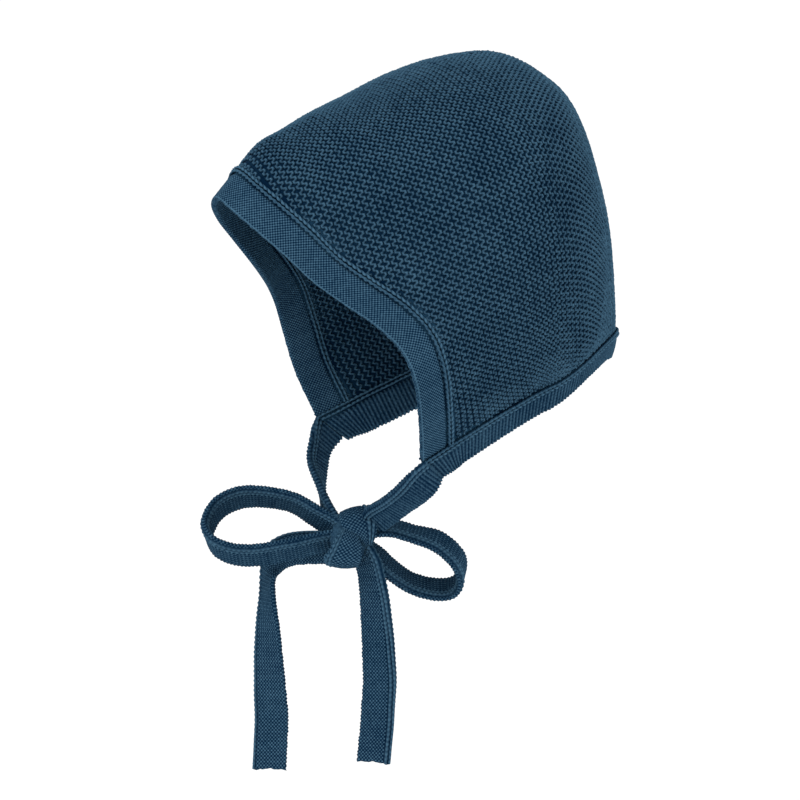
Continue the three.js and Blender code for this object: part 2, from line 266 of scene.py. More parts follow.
def yarn_tube(
    shell: Shell, path: Array, up: Array, radius: Array | float, sides: int, turn: Array | float = 0.0,
    ply: float = 0.0, rise: Array | float = 1.0,
) -> None:
    """Adds a closed tube of yarn that follows a path.

    Args:
        shell: What the tube is added to.
        path: Points of the yarn's middle.
        up: The direction out of the cloth at each of them.
        radius: Half the yarn's thickness.
        sides: How many sides the tube has, an even number.
        turn: Twist of the strands at each point, in radians.
        ply: How deep the groove between the two strands is, as a share of the radius; the groove is also darkened as
            painted shade.
        rise: How near the yarn lies to the top of the knit, from 0 to 1; yarn lower in the knit gets more painted
            shade.
    """
    along = unit(np.gradient(path, axis=0))
    side = unit(np.cross(along, up))
    out = np.cross(side, along)
    count = len(path)
    angles = np.arange(sides) * TURN / sides + math.pi / 2
    radius, turn, rise = (np.broadcast_to(v, (count,))[:, None] for v in (radius, turn, rise))
    strands = np.cos(2 * angles - 2 * turn)
    reach = radius * (1 + ply * strands)
    ring = np.cos(angles)[:, None] * side[:, None, :] + np.sin(angles)[:, None] * out[:, None, :]
    points = (path[:, None, :] + reach[:, :, None] * ring).reshape(-1, 3)
    faces = grid_faces(count, sides, closed=True)[:, ::-1]
    # Painted light: a painted highlight along the tube's top and painted shade below it, deeper lower in the knit
    # and in the strands' grooves
    height = mix(LOW_PAINTED_LIGHT, 1.0, rise) * np.maximum(FLANK_PAINTED_LIGHT + TOP_PAINTED_HIGHLIGHT * np.sin(angles), 0.0)
    painted_light = height * (1 - GROOVE_PAINTED_SHADE * ply * np.maximum(-strands, 0.0))
    shell.add(points, np.concatenate([faces, end_caps(sides, (count - 1) * sides)]), painted_light.reshape(-1))


# The crown's form


@dataclass(frozen=True)
class CrownForm:
    """The outside of the crown, as arches along the neck from the face to the nape.

    Depth runs from 0 at the face edge over 1 at the widest arch to 2 at the middle of the back.
    Across runs from -1 at the right neck edge over 0 at the top to 1 at the left neck edge.
    The top puffs up behind the face seam and sags further back: puff_at and sag_at give the middle and
    the width of each in depth. Rows follow the face edge in front and lean back low on the sides.
    """

    neck_tilt_deg: float = 14.0
    wall: float = 2.5
    rise: float = 137.6
    half_width: float = 60.3
    widest_at: float = 63.9
    back_depth: float = 57.7
    back_roundness: float = 1.74
    neck_lift: float = 4.1
    side_swell: float = 1.25
    top_swell: float = 2.9
    puff: float = 2.9
    puff_at: tuple[float, float] = (0.23, 0.10)
    sag: float = 0.8
    sag_at: tuple[float, float] = (0.68, 0.17)
    follow: float = 0.16
    follow_fade: float = 60.0
    lean: float = 8.0
    lean_height: float = 0.42
    lean_from: float = 25.0
    lean_to: float = 78.0
    lean_fade: float = 30.0
    face_half_width: float = 58.0
    face_rise: float = 115.0
    face_lead: float = 41.5
    face_reach_shares: tuple[float, ...] = (0.8, 0.945, 1.0, 0.96, 0.825, 0.64, 0.495, 0.425, 0.335, 0.19, 0.0)
    face_rise_shares: tuple[float, ...] = (0.0, 0.158, 0.303, 0.42, 0.514, 0.597, 0.683, 0.783, 0.876, 0.955, 1.0)
    face_lead_shares: tuple[float, ...] = (0.0, 0.02, 0.017, 0.055, 0.17, 0.33, 0.49, 0.645, 0.795, 0.905, 0.94)
    reach_shares: tuple[float, ...] = (0.665, 0.768, 0.875, 0.962, 1.0, 0.975, 0.88, 0.706, 0.48, 0.245, 0.0)
    rise_shares: tuple[float, ...] = (0.056, 0.129, 0.273, 0.424, 0.568, 0.704, 0.814, 0.898, 0.958, 0.99, 1.0)
    back_shares: tuple[float, ...] = (0.93, 0.943, 0.98, 1.0, 0.983, 0.953, 0.88, 0.725, 0.555, 0.35, 0.0)

    def placed(self, points: Array) -> Array:
        """Points off the neck plane, moved to the bonnet's own frame and tipped with the neck."""
        seat = np.array([0.0, self.widest_at, self.rise - self.wall])
        tilt = math.radians(self.neck_tilt_deg)
        x, y, z = np.moveaxis(points - seat, -1, 0)
        return np.stack([x, y * math.cos(tilt) - z * math.sin(tilt), y * math.sin(tilt) + z * math.cos(tilt)], -1)

    def lead(self, height: Array) -> Array:
        """How far the face edge lies in front of its corners at each height."""
        return self.face_lead * smooth(self.face_lead_shares, height, 1)

    def back(self, height: Array) -> Array:
        """How far the back lies behind the widest arch at each height."""
        return self.back_depth * smooth(self.back_shares, height, -1)

    def reach(self, height: Array) -> Array:
        """Half the width of the widest arch at each height."""
        return self.half_width * smooth(self.reach_shares, height, -1)

    def flat_point(self, depth: Array, across: Array) -> Array:
        """Points of the outside, off the neck plane.

        Args:
            depth: From 0 at the face edge to 2 at the middle of the back.
            across: From -1 over the top to 1.

        Returns:
            The points, before they are tipped with the neck.
        """
        depth, across = np.broadcast_arrays(np.asarray(depth, float), np.asarray(across, float))
        height = 1 - np.abs(across)
        side = np.where(across < 0, -1.0, 1.0)
        reach, back = self.reach(height), self.back(height)
        rise = self.rise * smooth(self.rise_shares, height, 1)
        swell = mix(self.side_swell, self.top_swell, height * height)
        filled = 1 - np.maximum(1 - depth, 0.0) ** swell
        face_reach = self.face_half_width * smooth(self.face_reach_shares, height, -1)
        face_rise = self.face_rise * smooth(self.face_rise_shares, height, 1)
        puff = bump(depth, *self.puff_at) - self.sag * bump(depth, *self.sag_at)
        front = [mix(face_reach, reach, filled), mix(-self.lead(height), self.widest_at, depth),
                 mix(face_rise, rise, filled) + self.puff * height**3 * puff]
        turn = np.clip(depth - 1, 0.0, 1.0) * math.pi / 2
        round_share = 2 / self.back_roundness
        near_neck = (1 - height) ** 6
        lift = self.neck_lift * near_neck * np.sin(2 * turn) ** 2
        behind = [reach * np.maximum(np.cos(turn), 0.0) ** round_share,
                  self.widest_at + back * np.sin(turn) ** round_share, rise + lift]
        x, y, z = (np.where(depth <= 1, a, b) for a, b in zip(front, behind))
        return np.stack([side * x, y, z], -1)

    def surface(self, depth: Array, across: Array) -> tuple[Array, Array]:
        """Points of the outside and the directions out of it.

        Args:
            depth: From 0 at the face edge to 2 at the middle of the back.
            across: From -1 over the top to 1.

        Returns:
            The points and the outward directions.
        """
        step = 1e-3
        depth, across = np.broadcast_arrays(np.asarray(depth, float), np.asarray(across, float))
        inner = np.clip(depth, 0, 2 - step)
        deeper = self.flat_point(inner + step, across) - self.flat_point(inner - step, across)
        wider = self.flat_point(inner, across + step) - self.flat_point(inner, across - step)
        out = unit(np.cross(wider, deeper))
        seat = self.placed(np.zeros(3))
        return self.placed(self.flat_point(depth, across)), self.placed(out) - seat

    def depth_at(self, across: Array, distance: Array | float) -> Array:
        """Depths that lie a distance over the surface behind the face edge.

        Args:
            across: Where over the arch, one value for each answer.
            distance: How far behind the face edge, in millimetres.

        Returns:
            The depths.
        """
        depths = np.linspace(0, 1, DEPTH_RUN)
        across = np.atleast_1d(across)
        distance = np.broadcast_to(distance, across.shape)
        points = self.flat_point(depths[:, None], across[None, :])
        steps = np.linalg.norm(np.diff(points, axis=0), axis=-1)
        runs = np.concatenate([np.zeros((1, len(across))), np.cumsum(steps, axis=0)])
        return np.array([np.interp(d, runs[:, k], depths) for k, d in enumerate(distance)])

    def drawn(self, at: float, height: Array) -> Array:
        """Where a row that starts at a place along the neck lies at each height.

        Rows in front follow the face edge a little, and rows at the side lean back towards the neck.

        Args:
            at: The row's place along the neck, behind the face corners.
            height: Heights over the arch, from 0 at the neck to 1 at the top.

        Returns:
            The places along the neck.
        """
        front = 1 - ease((at + self.face_lead) / self.follow_fade)
        side = ease(at / self.lean_from) * ease((self.lean_to - at) / self.lean_fade)
        low = np.maximum(1 - height / self.lean_height, 0.0) ** 2
        return at - self.follow * front * self.lead(height) + self.lean * side * low

    def arch(self, at: float, share: Array, edge: Callable[[Array], Array]) -> tuple[Array, Array]:
        """One knitted row of the crown: an arch at a place along the neck.

        Args:
            at: The place along the neck, behind the face corners.
            share: From -1 at the row's right end to 1 at its left end.
            edge: The depth at which the crown's knit begins, as a function of across.

        Returns:
            Depth and across at each share.
        """
        heights = np.linspace(0, 1, FINE_RUN)
        side = np.where(share < 0, -1.0, 1.0)
        if at > self.widest_at:
            top = heights[self.back(heights) >= at - self.widest_at][-1]
            across = side * (1 - top * (1 - share**2))
        else:
            lead = self.lead(heights)
            depths = (self.drawn(at, heights) + lead) / (self.widest_at + lead)
            inside = heights[depths >= edge(1 - heights)]
            across = share * (1 - inside[0] if len(inside) else 0.0)
        height = 1 - np.abs(across)
        place, lead = self.drawn(at, height), self.lead(height)
        back = np.maximum(self.back(height), THINNEST)
        sine = np.clip((place - self.widest_at) / back, 0, 1) ** (self.back_roundness / 2)
        behind = 1 + np.arcsin(sine) * 2 / math.pi
        in_front = (place + lead) / (self.widest_at + lead)
        return np.where(place > self.widest_at, behind, in_front), across

    def neck_point(self, depth: Array, side: float, down: Array, turned: float, width: float) -> Array:
        """Points of the band that hangs from the neck edge.

        Args:
            depth: Place along the neck edge.
            side: 1 on the wearer's left, -1 on the right.
            down: Share of the width down the band.
            turned: Width of the band at the face corner, where it turns into a tie.
            width: Width of the band elsewhere.

        Returns:
            The points.
        """
        slope_step, corner_turn, corner_lean, gap = 0.02, 24.0, 0.6, 0.3
        here = self.flat_point(depth, side * np.ones_like(depth))
        above = self.flat_point(depth, side * (1 - slope_step) * np.ones_like(depth))
        settled = ease(depth * self.widest_at / corner_turn)
        drop = unit(here - above)
        drop[..., 1] += corner_lean * (1 - settled)
        reach = gap + down * mix(turned, width, settled)
        return self.placed(here + unit(drop) * reach[..., None])


# Finishes


class Knit(Enum):
    """The ways in which the flat pieces are knitted."""

    FINE = "fine"
    RIBBED = "ribbed"
    TAPE = "tape"


class Value:
    """A number that varies over a surface, so that sums of such numbers read as sums."""

    def __init__(self, nodes: bpy.types.NodeTree, socket: bpy.types.NodeSocket) -> None:
        """Wraps an output socket of a node tree."""
        self.nodes = nodes
        self.socket = socket

    def _math(self, operation: str, first: "Value | float", second: "Value | float", clamp: bool = False) -> "Value":
        """The result of one Math node.

        Args:
            operation: The node's operation.
            first: Its first input.
            second: Its second input.
            clamp: Whether the result is kept between 0 and 1.

        Returns:
            The new value.
        """
        node = self.nodes.nodes.new("ShaderNodeMath")
        node.operation, node.use_clamp = operation, clamp
        for socket, value in zip(node.inputs, (first, second)):
            if isinstance(value, Value):
                self.nodes.links.new(value.socket, socket)
            else:
                socket.default_value = value
        return Value(self.nodes, node.outputs[0])

    def __add__(self, other: "Value | float") -> "Value":
        """The sum."""
        return self._math("ADD", self, other)

    def __mul__(self, other: "Value | float") -> "Value":
        """The product."""
        return self._math("MULTIPLY", self, other)

    def __sub__(self, other: "Value | float") -> "Value":
        """The difference."""
        return self._math("SUBTRACT", self, other)

    def __rsub__(self, other: float) -> "Value":
        """The difference from a plain number."""
        return self._math("SUBTRACT", other, self)

    def wave(self) -> "Value":
        """A cosine that comes round at every whole number."""
        return self._math("COSINE", self * TURN, 0.0)

    def kept(self) -> "Value":
        """The value kept between 0 and 1."""
        return self._math("ADD", self, 0.0, clamp=True)


class Dye:
    """The nodes of one material."""

    def __init__(self, name: str) -> None:
        """Starts an empty material with a shader and an output."""
        self.material = bpy.data.materials.new(name)
        self.material.use_nodes = True
        self.tree = self.material.node_tree
        self.shader = self.tree.nodes["Principled BSDF"]

    def node(self, kind: str, settings: dict | None = None, **sockets: object) -> bpy.types.Node:
        """Adds a node.

        Args:
            kind: The node's type.
            settings: Its settings, which are made before its sockets are filled.
            **sockets: Values or links of its inputs, with _ for a space in a name.

        Returns:
            The new node.
        """
        made = self.tree.nodes.new(kind)
        for key, value in (settings or {}).items():
            setattr(made, key, value)
        self.fill(made, **sockets)
        return made

    def fill(self, made: bpy.types.Node, **sockets: object) -> None:
        """Fills inputs of a node, with _ for a space in a name."""
        for key, value in sockets.items():
            self.join(made.inputs[key.replace("_", " ")], value)

    def join(self, socket: bpy.types.NodeSocket, value: object) -> None:
        """Links a socket to a value, or sets it."""
        if isinstance(value, Value):
            self.tree.links.new(value.socket, socket)
        elif isinstance(value, bpy.types.NodeSocket):
            self.tree.links.new(value, socket)
        else:
            socket.default_value = value

    def value(self, socket: bpy.types.NodeSocket) -> Value:
        """An output socket as a number to reckon with."""
        return Value(self.tree, socket)

    def noise(self, place: bpy.types.NodeSocket, scale: float, detail: float) -> Value:
        """Noise over the surface, from 0 to 1."""
        return self.value(self.node("ShaderNodeTexNoise", Vector=place, Scale=scale, Detail=detail).outputs[0])

    def blend(self, share: Value | float, first: object, second: object) -> bpy.types.NodeSocket:
        """A colour between two others.

        Args:
            share: How much of the second colour there is.
            first: The first colour or link.
            second: The second colour or link.

        Returns:
            The mixed colour.
        """
        made = self.tree.nodes.new("ShaderNodeMix")
        made.data_type = "RGBA"
        factor, first_colour, second_colour = (made.inputs[k] for k in (0, 6, 7))
        for socket, value in ((factor, share), (first_colour, first), (second_colour, second)):
            self.join(socket, value)
        return made.outputs[2]


@dataclass(frozen=True)
class Wool:
    """Matt worsted wool: two tones, uneven dye, fine stitches and loose fibres, with painted light in its colour.

    Painted light at each point, the fine stitches' painted shade and the uneven dye move the colour between the deep
    and the light tone. The tones say how far each pattern moves the colour, and the reliefs how far it shapes the
    bump.
    """

    name: str
    # The deep tone serves painted shade and the light tone painted highlight, as well as the dye's own darker and
    # paler specks
    deep: tuple[float, float, float]
    light: tuple[float, float, float]
    cloud_scale: float = 55.0
    strand_scale: float = 2600.0
    speck_scale: float = 780.0
    cloud_tone: float = 0.45
    strand_tone: float = 0.5
    speck_tone: float = 0.75
    # Painted shade of the fine stitches: lighter tops, darker hollows between them
    stitch_painted_shade: float = 0.85
    strand_relief: float = 0.35
    speck_relief: float = 0.45
    stitch_relief: float = 0.6
    relief: float = 0.55
    relief_depth: float = 0.0003
    roughness: float = 0.98
    strand_gloss: float = 0.12
    gloss: float = 0.04
    fuzz: float = 0.06
    fuzz_roughness: float = 0.5
    fuzz_tint: tuple[float, float, float] = (0.10, 0.42, 0.62)

    def made(self) -> bpy.types.Material:
        """The finish as a material."""
        dye = Dye(self.name)
        place = dye.node("ShaderNodeTexCoord").outputs["Object"]
        # Painted light and shade that each piece carries at its points
        painted_light = dye.value(dye.node("ShaderNodeAttribute", {"attribute_name": "painted_light"}).outputs["Fac"])
        stitch = dye.node("ShaderNodeAttribute", {"attribute_name": "stitch"}).outputs["Vector"]
        parts = dye.node("ShaderNodeSeparateXYZ", Vector=stitch).outputs
        along, across, clear = (dye.value(socket) for socket in parts)
        fine = along.wave() * across.wave() * clear
        cloud = dye.noise(place, self.cloud_scale, 3.0)
        strand = dye.noise(place, self.strand_scale, 2.0)
        speck = dye.noise(place, self.speck_scale, 2.0)
        # Painted light, then the stitches' painted shade, then the dye's own unevenness
        share = painted_light + fine * self.stitch_painted_shade
        for noise, tone in ((cloud, self.cloud_tone), (strand, self.strand_tone), (speck, self.speck_tone)):
            share = share + (noise - 0.5) * tone
        colour = dye.blend(share.kept(), (*self.deep, 1.0), (*self.light, 1.0))
        height = strand * self.strand_relief + speck * self.speck_relief + fine * self.stitch_relief
        bump_node = dye.node("ShaderNodeBump", Height=height, Strength=self.relief, Distance=self.relief_depth)
        dye.fill(dye.shader, Base_Color=colour, Normal=bump_node.outputs[0],
                 Roughness=(self.roughness - strand * self.strand_gloss).kept(),
                 Specular_IOR_Level=self.gloss, Sheen_Weight=self.fuzz,
                 Sheen_Roughness=self.fuzz_roughness, Sheen_Tint=(*self.fuzz_tint, 1.0))
        return dye.material


KNIT_MATERIAL = Wool("teal_wool", (0.0008, 0.0150, 0.0410), (0.0610, 0.1390, 0.2130)).made()
SEAM_MATERIAL = Wool("teal_seam_wool", (0.0010, 0.0160, 0.0420), (0.0600, 0.1380, 0.2130)).made()
# The core's wool is a darker copy of the knit's: painted shade for the hollows between the crown's rows
SHADED_CORE_MATERIAL = Wool("teal_shaded_core_wool", (0.0008, 0.0120, 0.0340), (0.0100, 0.0400, 0.0780), fuzz=0.0).made()


# The crown


@dataclass(frozen=True)
class Hand:
    """How the yarn runs through a stitch, and how the knitter's hand varies it.

    Lengths are in millimetres, and the rest are shares. The hand changes from half stitch to half
    stitch (the beat values) and slowly along a row (the values with a reach).
    """

    drift: float = 0.22
    drift_reach: float = 46.0
    beat_shift: float = 0.14
    bunching: float = 0.085
    loose: float = 0.08
    loose_reach: float = 17.0
    beat_loose: float = 0.14
    lean: float = 0.04
    curl: float = 0.19
    beat_lift: float = 0.09
    swell: float = 0.08
    beat_swell: float = 0.06
    clear: float = 0.06
    sides: int = 4

    def halves(self, first: int, final: int, beats: int, rng: np.random.Generator) -> tuple[Array, Array]:
        """How the hand varies from one half stitch to the next.

        Args:
            first: Number of the row's first point.
            final: Number of its last point.
            beats: Points of the yarn for each stitch.
            rng: The seeded source of unevenness.

        Returns:
            Point numbers half a stitch apart, and a value between -1 and 1 at each of them.
        """
        places = np.arange(first, final + beats, beats / 2)
        return places, rng.uniform(-1, 1, len(places))


@dataclass
class Crown:
    """Garter stitch: rows of waved yarn on both sides of a thin core, and a back panel knitted upright.

    The rows are spaced over the cloth at one place of the arch, and the panel's ribs at another.
    """

    form: CrownForm
    hand: Hand = Hand()
    row_pitch: float = 2.62
    stitch_pitch: float = 2.65
    yarn: float = 0.61
    swing: float = 0.80
    crease_at: float = 103.0
    knit_from: float = 15.2
    rows_spaced_at: float = 0.45
    rows_to_depth: float = 1.8
    rows_ahead: float = 60.0
    front_margin: float = 13.0
    ribs_spaced_at: float = 0.5
    ribs_from_depth: float = 1.3
    crease_behind: float = 1.2
    crease_sunk: float = 0.42
    crease_yarn: float = 0.5
    crease_twist: float = 3.4
    crease_ply: float = 0.2
    core_out: float = 0.95
    core_in: float = 1.55
    # Painted light of the core, kept low as painted shade
    core_painted_light: float = 0.18
    core_grid: tuple[int, int] = (32, 101)
    weld: float = 2e-5
    outer_beats: int = 6
    inner_beats: int = 4

    def edge(self, across: Array) -> Array:
        """Depth at which the knit begins behind the face seam."""
        spread = np.linspace(0, 1, 61)
        return np.interp(np.abs(across), spread, self.form.depth_at(spread, self.knit_from))

    def row_places(self) -> list[float]:
        """Places of the rows along the neck, evenly spaced over the cloth."""
        depth = np.linspace(0, self.rows_to_depth, EVEN_RUN)
        flat = self.form.flat_point(depth, np.full_like(depth, self.rows_spaced_at))
        run = run_of(flat)
        start = np.interp(self.crease_at, flat[:, 1], run)
        count = int((start + self.rows_ahead) / self.row_pitch)
        runs = start - np.arange(count) * self.row_pitch
        places = np.interp(runs, run, flat[:, 1]) + np.minimum(runs, 0.0)
        return [float(p) for p in places if p > self.front_margin - self.form.face_lead]

    def panel_places(self) -> list[float]:
        """Places of the back panel's ribs, as distances from the middle, evenly spaced over the cloth."""
        depth = np.linspace(self.ribs_from_depth, 2.0, 500)
        flat = self.form.flat_point(depth, np.full_like(depth, self.ribs_spaced_at))
        inside = flat[:, 1] >= self.crease_at
        side, run = flat[inside][:, 0][::-1], run_of(flat[inside][::-1])
        half = np.arange(0.5 * self.row_pitch, run[-1], self.row_pitch)
        found = np.interp(half, run, side)
        return [float(x) for x in np.concatenate([-found[::-1], found])]

    def panel_line(self, at: float, share: Array) -> tuple[Array, Array]:
        """One upright rib of the back panel.

        Args:
            at: Its distance from the middle.
            share: From 0 at the nape to 1 at the crease.

        Returns:
            Depth and across at each share.
        """
        heights = np.linspace(0, 1, FINE_RUN)
        power = self.form.back_roundness
        reach = np.maximum(self.form.reach(heights), THINNEST)
        inner = np.clip(1 - (abs(at) / reach) ** power, 0, 1) ** (1 / power)
        behind = self.form.widest_at + self.form.back(heights) * inner
        top = heights[(behind >= self.crease_at) & (reach > abs(at))][-1]
        height = top * share
        cosine = np.clip(abs(at) / self.form.reach(height), 0, 1) ** (power / 2)
        return 1 + np.arccos(cosine) * 2 / math.pi, np.sign(at) * (1 - height)

    def waved(self, shell: Shell, line: Callable[[Array], tuple[Array, Array]], shares: Array,
              beats: int, inside: bool, rng: np.random.Generator) -> None:
        """Adds one row of stitches as a waved yarn.

        Args:
            shell: What the yarn is added to.
            line: Gives depth and across for shares of the row.
            shares: A fine run of shares over the row.
            beats: Points of the yarn for each stitch.
            inside: Whether the row lies on the inside of the crown.
            rng: The seeded source of unevenness.
        """
        hand = self.hand
        run = run_of(self.form.surface(*line(shares))[0])
        if run[-1] < 2 * self.stitch_pitch:
            return
        middle = run[-1] / 2 if shares[0] < 0 else 0.0
        first = math.ceil(-middle / self.stitch_pitch * beats)
        final = math.floor((run[-1] - middle) / self.stitch_pitch * beats)
        beat = np.arange(first, final + 1)
        at = beat * self.stitch_pitch / beats
        wave = TURN * beat / beats
        drift = hand.drift * wander(at, hand.drift_reach, rng)
        uneven = np.interp(beat, *hand.halves(first, final, beats, rng))
        stretch = 1 + hand.loose * wander(at, hand.loose_reach, rng) + hand.beat_loose * uneven
        shifted = at + drift - hand.bunching * np.sin(2 * wave) + hand.beat_shift * uneven
        share = np.interp(np.clip(shifted + middle, 0, run[-1]), run, shares)
        base, up = self.form.surface(*line(share))
        across = unit(np.cross(up, unit(np.gradient(base, axis=0))))
        high = hand.lean * np.sin(wave) - hand.curl * np.cos(2 * wave) + hand.beat_lift * uneven
        sunk = self.form.wall - self.yarn - hand.clear if inside else self.yarn + hand.clear
        path = base + across * (self.swing * stretch * np.sin(wave))[:, None] - up * (sunk - high)[:, None]
        thick = self.yarn * (1 - hand.swell * np.cos(2 * wave) + hand.beat_swell * uneven)
        # How high the yarn lies in the knit, which sets its painted shade: lower yarn is coloured darker
        rise = np.clip((high - high.min()) / np.ptp(high), 0, 1)
        yarn_tube(shell, path, -up if inside else up, thick, hand.sides, rise=rise)

    def rows(self, names: Sequence[str], beats: int, inside: bool) -> None:
        """Knits the arched rows of one side of the crown, in a few pieces.

        Args:
            names: The pieces' names, from the crease forwards.
            beats: Points of the yarn for each stitch.
            inside: Whether it is the inside.
        """
        rng = np.random.default_rng(SEED + inside)
        places = self.row_places()
        shares = np.linspace(-1, 1, 1201)
        for k, name in enumerate(names):
            shell = Shell.empty()
            part = places[k * len(places) // len(names):(k + 1) * len(places) // len(names)]
            for at in part:
                self.waved(shell, lambda share, at=at: self.form.arch(at, share, self.edge), shares,
                           beats, inside, rng)
            shell.piece(name, KNIT_MATERIAL, ["crown"])

    def panel(self, name: str, beats: int, inside: bool) -> None:
        """Knits the upright ribs of one side of the back panel.

        Args:
            name: The piece's name.
            beats: Points of the yarn for each stitch.
            inside: Whether it is the inside.
        """
        rng = np.random.default_rng(PANEL_SEED + inside)
        shell = Shell.empty()
        shares = np.linspace(0, 1, 601)
        for at in self.panel_places():
            self.waved(shell, lambda share, at=at: self.panel_line(at, share), shares, beats, inside, rng)
        shell.piece(name, KNIT_MATERIAL, ["crown"])

    def crease(self) -> None:
        """The sewn line where the arches end and the back panel begins."""
        shell = Shell.empty()
        shares = np.linspace(-1, 1, 500)
        base, up = self.form.surface(*self.form.arch(self.crease_at + self.crease_behind, shares, self.edge))
        turn = run_of(base) * TURN / self.crease_twist
        for outward in (-self.crease_sunk, self.crease_sunk - self.form.wall):
            yarn_tube(shell, base + up * outward, up, self.crease_yarn, 6, turn, self.crease_ply)
        shell.piece("crown_crease", SEAM_MATERIAL, ["crown"])

    def core(self) -> None:
        """The thin felted core between the two sides, coloured darker as painted shade where it shows between the
        rows.
        """
        rows, columns = self.core_grid
        across = np.linspace(-1, 1, columns)
        front = [mix(self.edge(across), 1.0, share) for share in np.linspace(0, 1, rows)]
        behind = [np.full_like(across, depth) for depth in np.linspace(1, 2, rows)[1:]]
        points, up = self.form.surface(np.array(front + behind), across[None, :])
        middle = points - up * (self.core_out + self.core_in) / 2
        shell = Shell.empty()
        shell.add(middle.reshape(-1, 3), grid_faces(*middle.shape[:2])[:, ::-1], self.core_painted_light)
        piece = shell.piece("crown_core", SHADED_CORE_MATERIAL, ["crown"])
        piece.modifiers.new("weld", "WELD").merge_threshold = self.weld
        felt = piece.modifiers.new("felt", "SOLIDIFY")
        felt.thickness, felt.offset = (self.core_in - self.core_out) * MM, 0.0

    def build(self) -> None:
        """Makes every piece of the crown."""
        self.core()
        self.rows(["crown_rows_back", "crown_rows_front"], self.outer_beats, False)
        self.rows(["crown_inner_rows_back", "crown_inner_rows_front"], self.inner_beats, True)
        self.panel("crown_panel", self.outer_beats, False)
        self.panel("crown_inner_panel", self.inner_beats, True)
        self.crease()


# Bands, ties and bow


@dataclass(frozen=True)
class Fabric:
    """Flat knit: how it is worked, the size of its stitches and where a tape's two chains lie.

    Inset is how far the first chain lies from the seamed edge. Level is the painted light of its middle, which
    the relief raises into painted highlight where the knit stands high and lowers into painted shade in its
    hollows; ribbed says how far its ribs, from 0 to 1, stand out against its fine stitches. Pairs of values
    are for a knit that isn't ribbed and for one that is.
    """

    knit: Knit
    width: float
    rib: float = 1.78
    stitch_along: float = 1.34
    stitch_across: float = 1.44
    inset: float = 2.2
    inset_start: float = 2.2
    settle: float = 16.0
    apart: float = 1.68
    chain_half: float = 0.70
    chain_high: float = 0.86
    chain_sunk: float = 0.42
    link: float = 1.95
    link_high: float = 0.22
    link_slant: float = 0.25
    groove_half: float = 1.5
    groove_soft: float = 0.3
    fine_high: float = 0.07
    rib_high: tuple[float, float] = (0.15, 0.27)
    fine_clear: tuple[float, float] = (1.0, 0.15)
    edge_reach: float = 0.7
    edge_high: float = 0.05
    edge_uneven: float = 1.6
    uneven: float = 0.05
    # Painted light of the knit's middle level
    level: float = 0.27
    ribbed: float = 0.0
    seed: int = 0

    def chains(self, along: Array, across: Array) -> tuple[Array, Array]:
        """The tape's chains.

        Args:
            along: Lengths along the strip.
            across: Lengths over it from its seamed edge.

        Returns:
            How high the chains stand, and how far they and their grooves take the place of the knit.
        """
        first = mix(self.inset_start, self.inset, ease(along / self.settle))
        height = np.full(np.broadcast_shapes(np.shape(along), np.shape(across)), -self.chain_sunk)
        cover = 0.0
        for k in (0, 1):
            off = np.abs(across - first - self.apart * k) / self.chain_half
            link = np.cos(TURN * (along / self.link + self.link_slant * off + 0.5 * k))
            strand = self.chain_high * np.sqrt(np.maximum(1 - off**2, 0)) - self.chain_sunk
            height = np.maximum(height, strand + self.link_high * link * (off < 1))
            cover = np.maximum(cover, ease((self.groove_half - off) / self.groove_soft))
        return height, cover

    def height(self, along: Array, across: Array) -> Array:
        """How far the knit stands out of its middle level.

        Args:
            along: Lengths along the strip.
            across: Lengths over it from its seamed edge.

        Returns:
            Heights in millimetres.
        """
        reach, slanted_reach, slant = 7.0, 5.0, 2.3
        rng = np.random.default_rng(FABRIC_SEED + self.seed)
        uneven = self.uneven * wander(along, reach, rng)
        uneven = uneven + self.uneven * wander(along + slant * across, slanted_reach, rng)
        edge = bump(across, 0.0, self.edge_reach) + bump(across, self.width, self.edge_reach)
        ribs = np.cos(TURN * along / self.rib)
        ground = uneven * (1 + self.edge_uneven * edge) + self.edge_high * edge * ribs
        if self.knit is Knit.FINE:
            columns = np.cos(TURN * across / self.stitch_across)
            return ground + self.fine_high * np.cos(TURN * along / self.stitch_along) * columns
        ground = ground + mix(*self.rib_high, self.ribbed) * ribs
        if self.knit is Knit.RIBBED:
            return ground
        chains, cover = self.chains(along, across)
        return mix(ground, chains, cover)

    def stitches(self, along: Array, across: Array) -> Array:
        """Numbers of stitches along and across, and how clearly fine stitches show."""
        along, across = np.broadcast_arrays(along, across)
        clear = np.full(along.shape, mix(*self.fine_clear, self.ribbed))
        if self.knit is Knit.TAPE:
            clear = clear * (1 - self.chains(along, across)[1])
        pace = self.stitch_along if self.knit is Knit.FINE else self.rib
        return np.stack([along / pace, across / self.stitch_across, clear], -1)


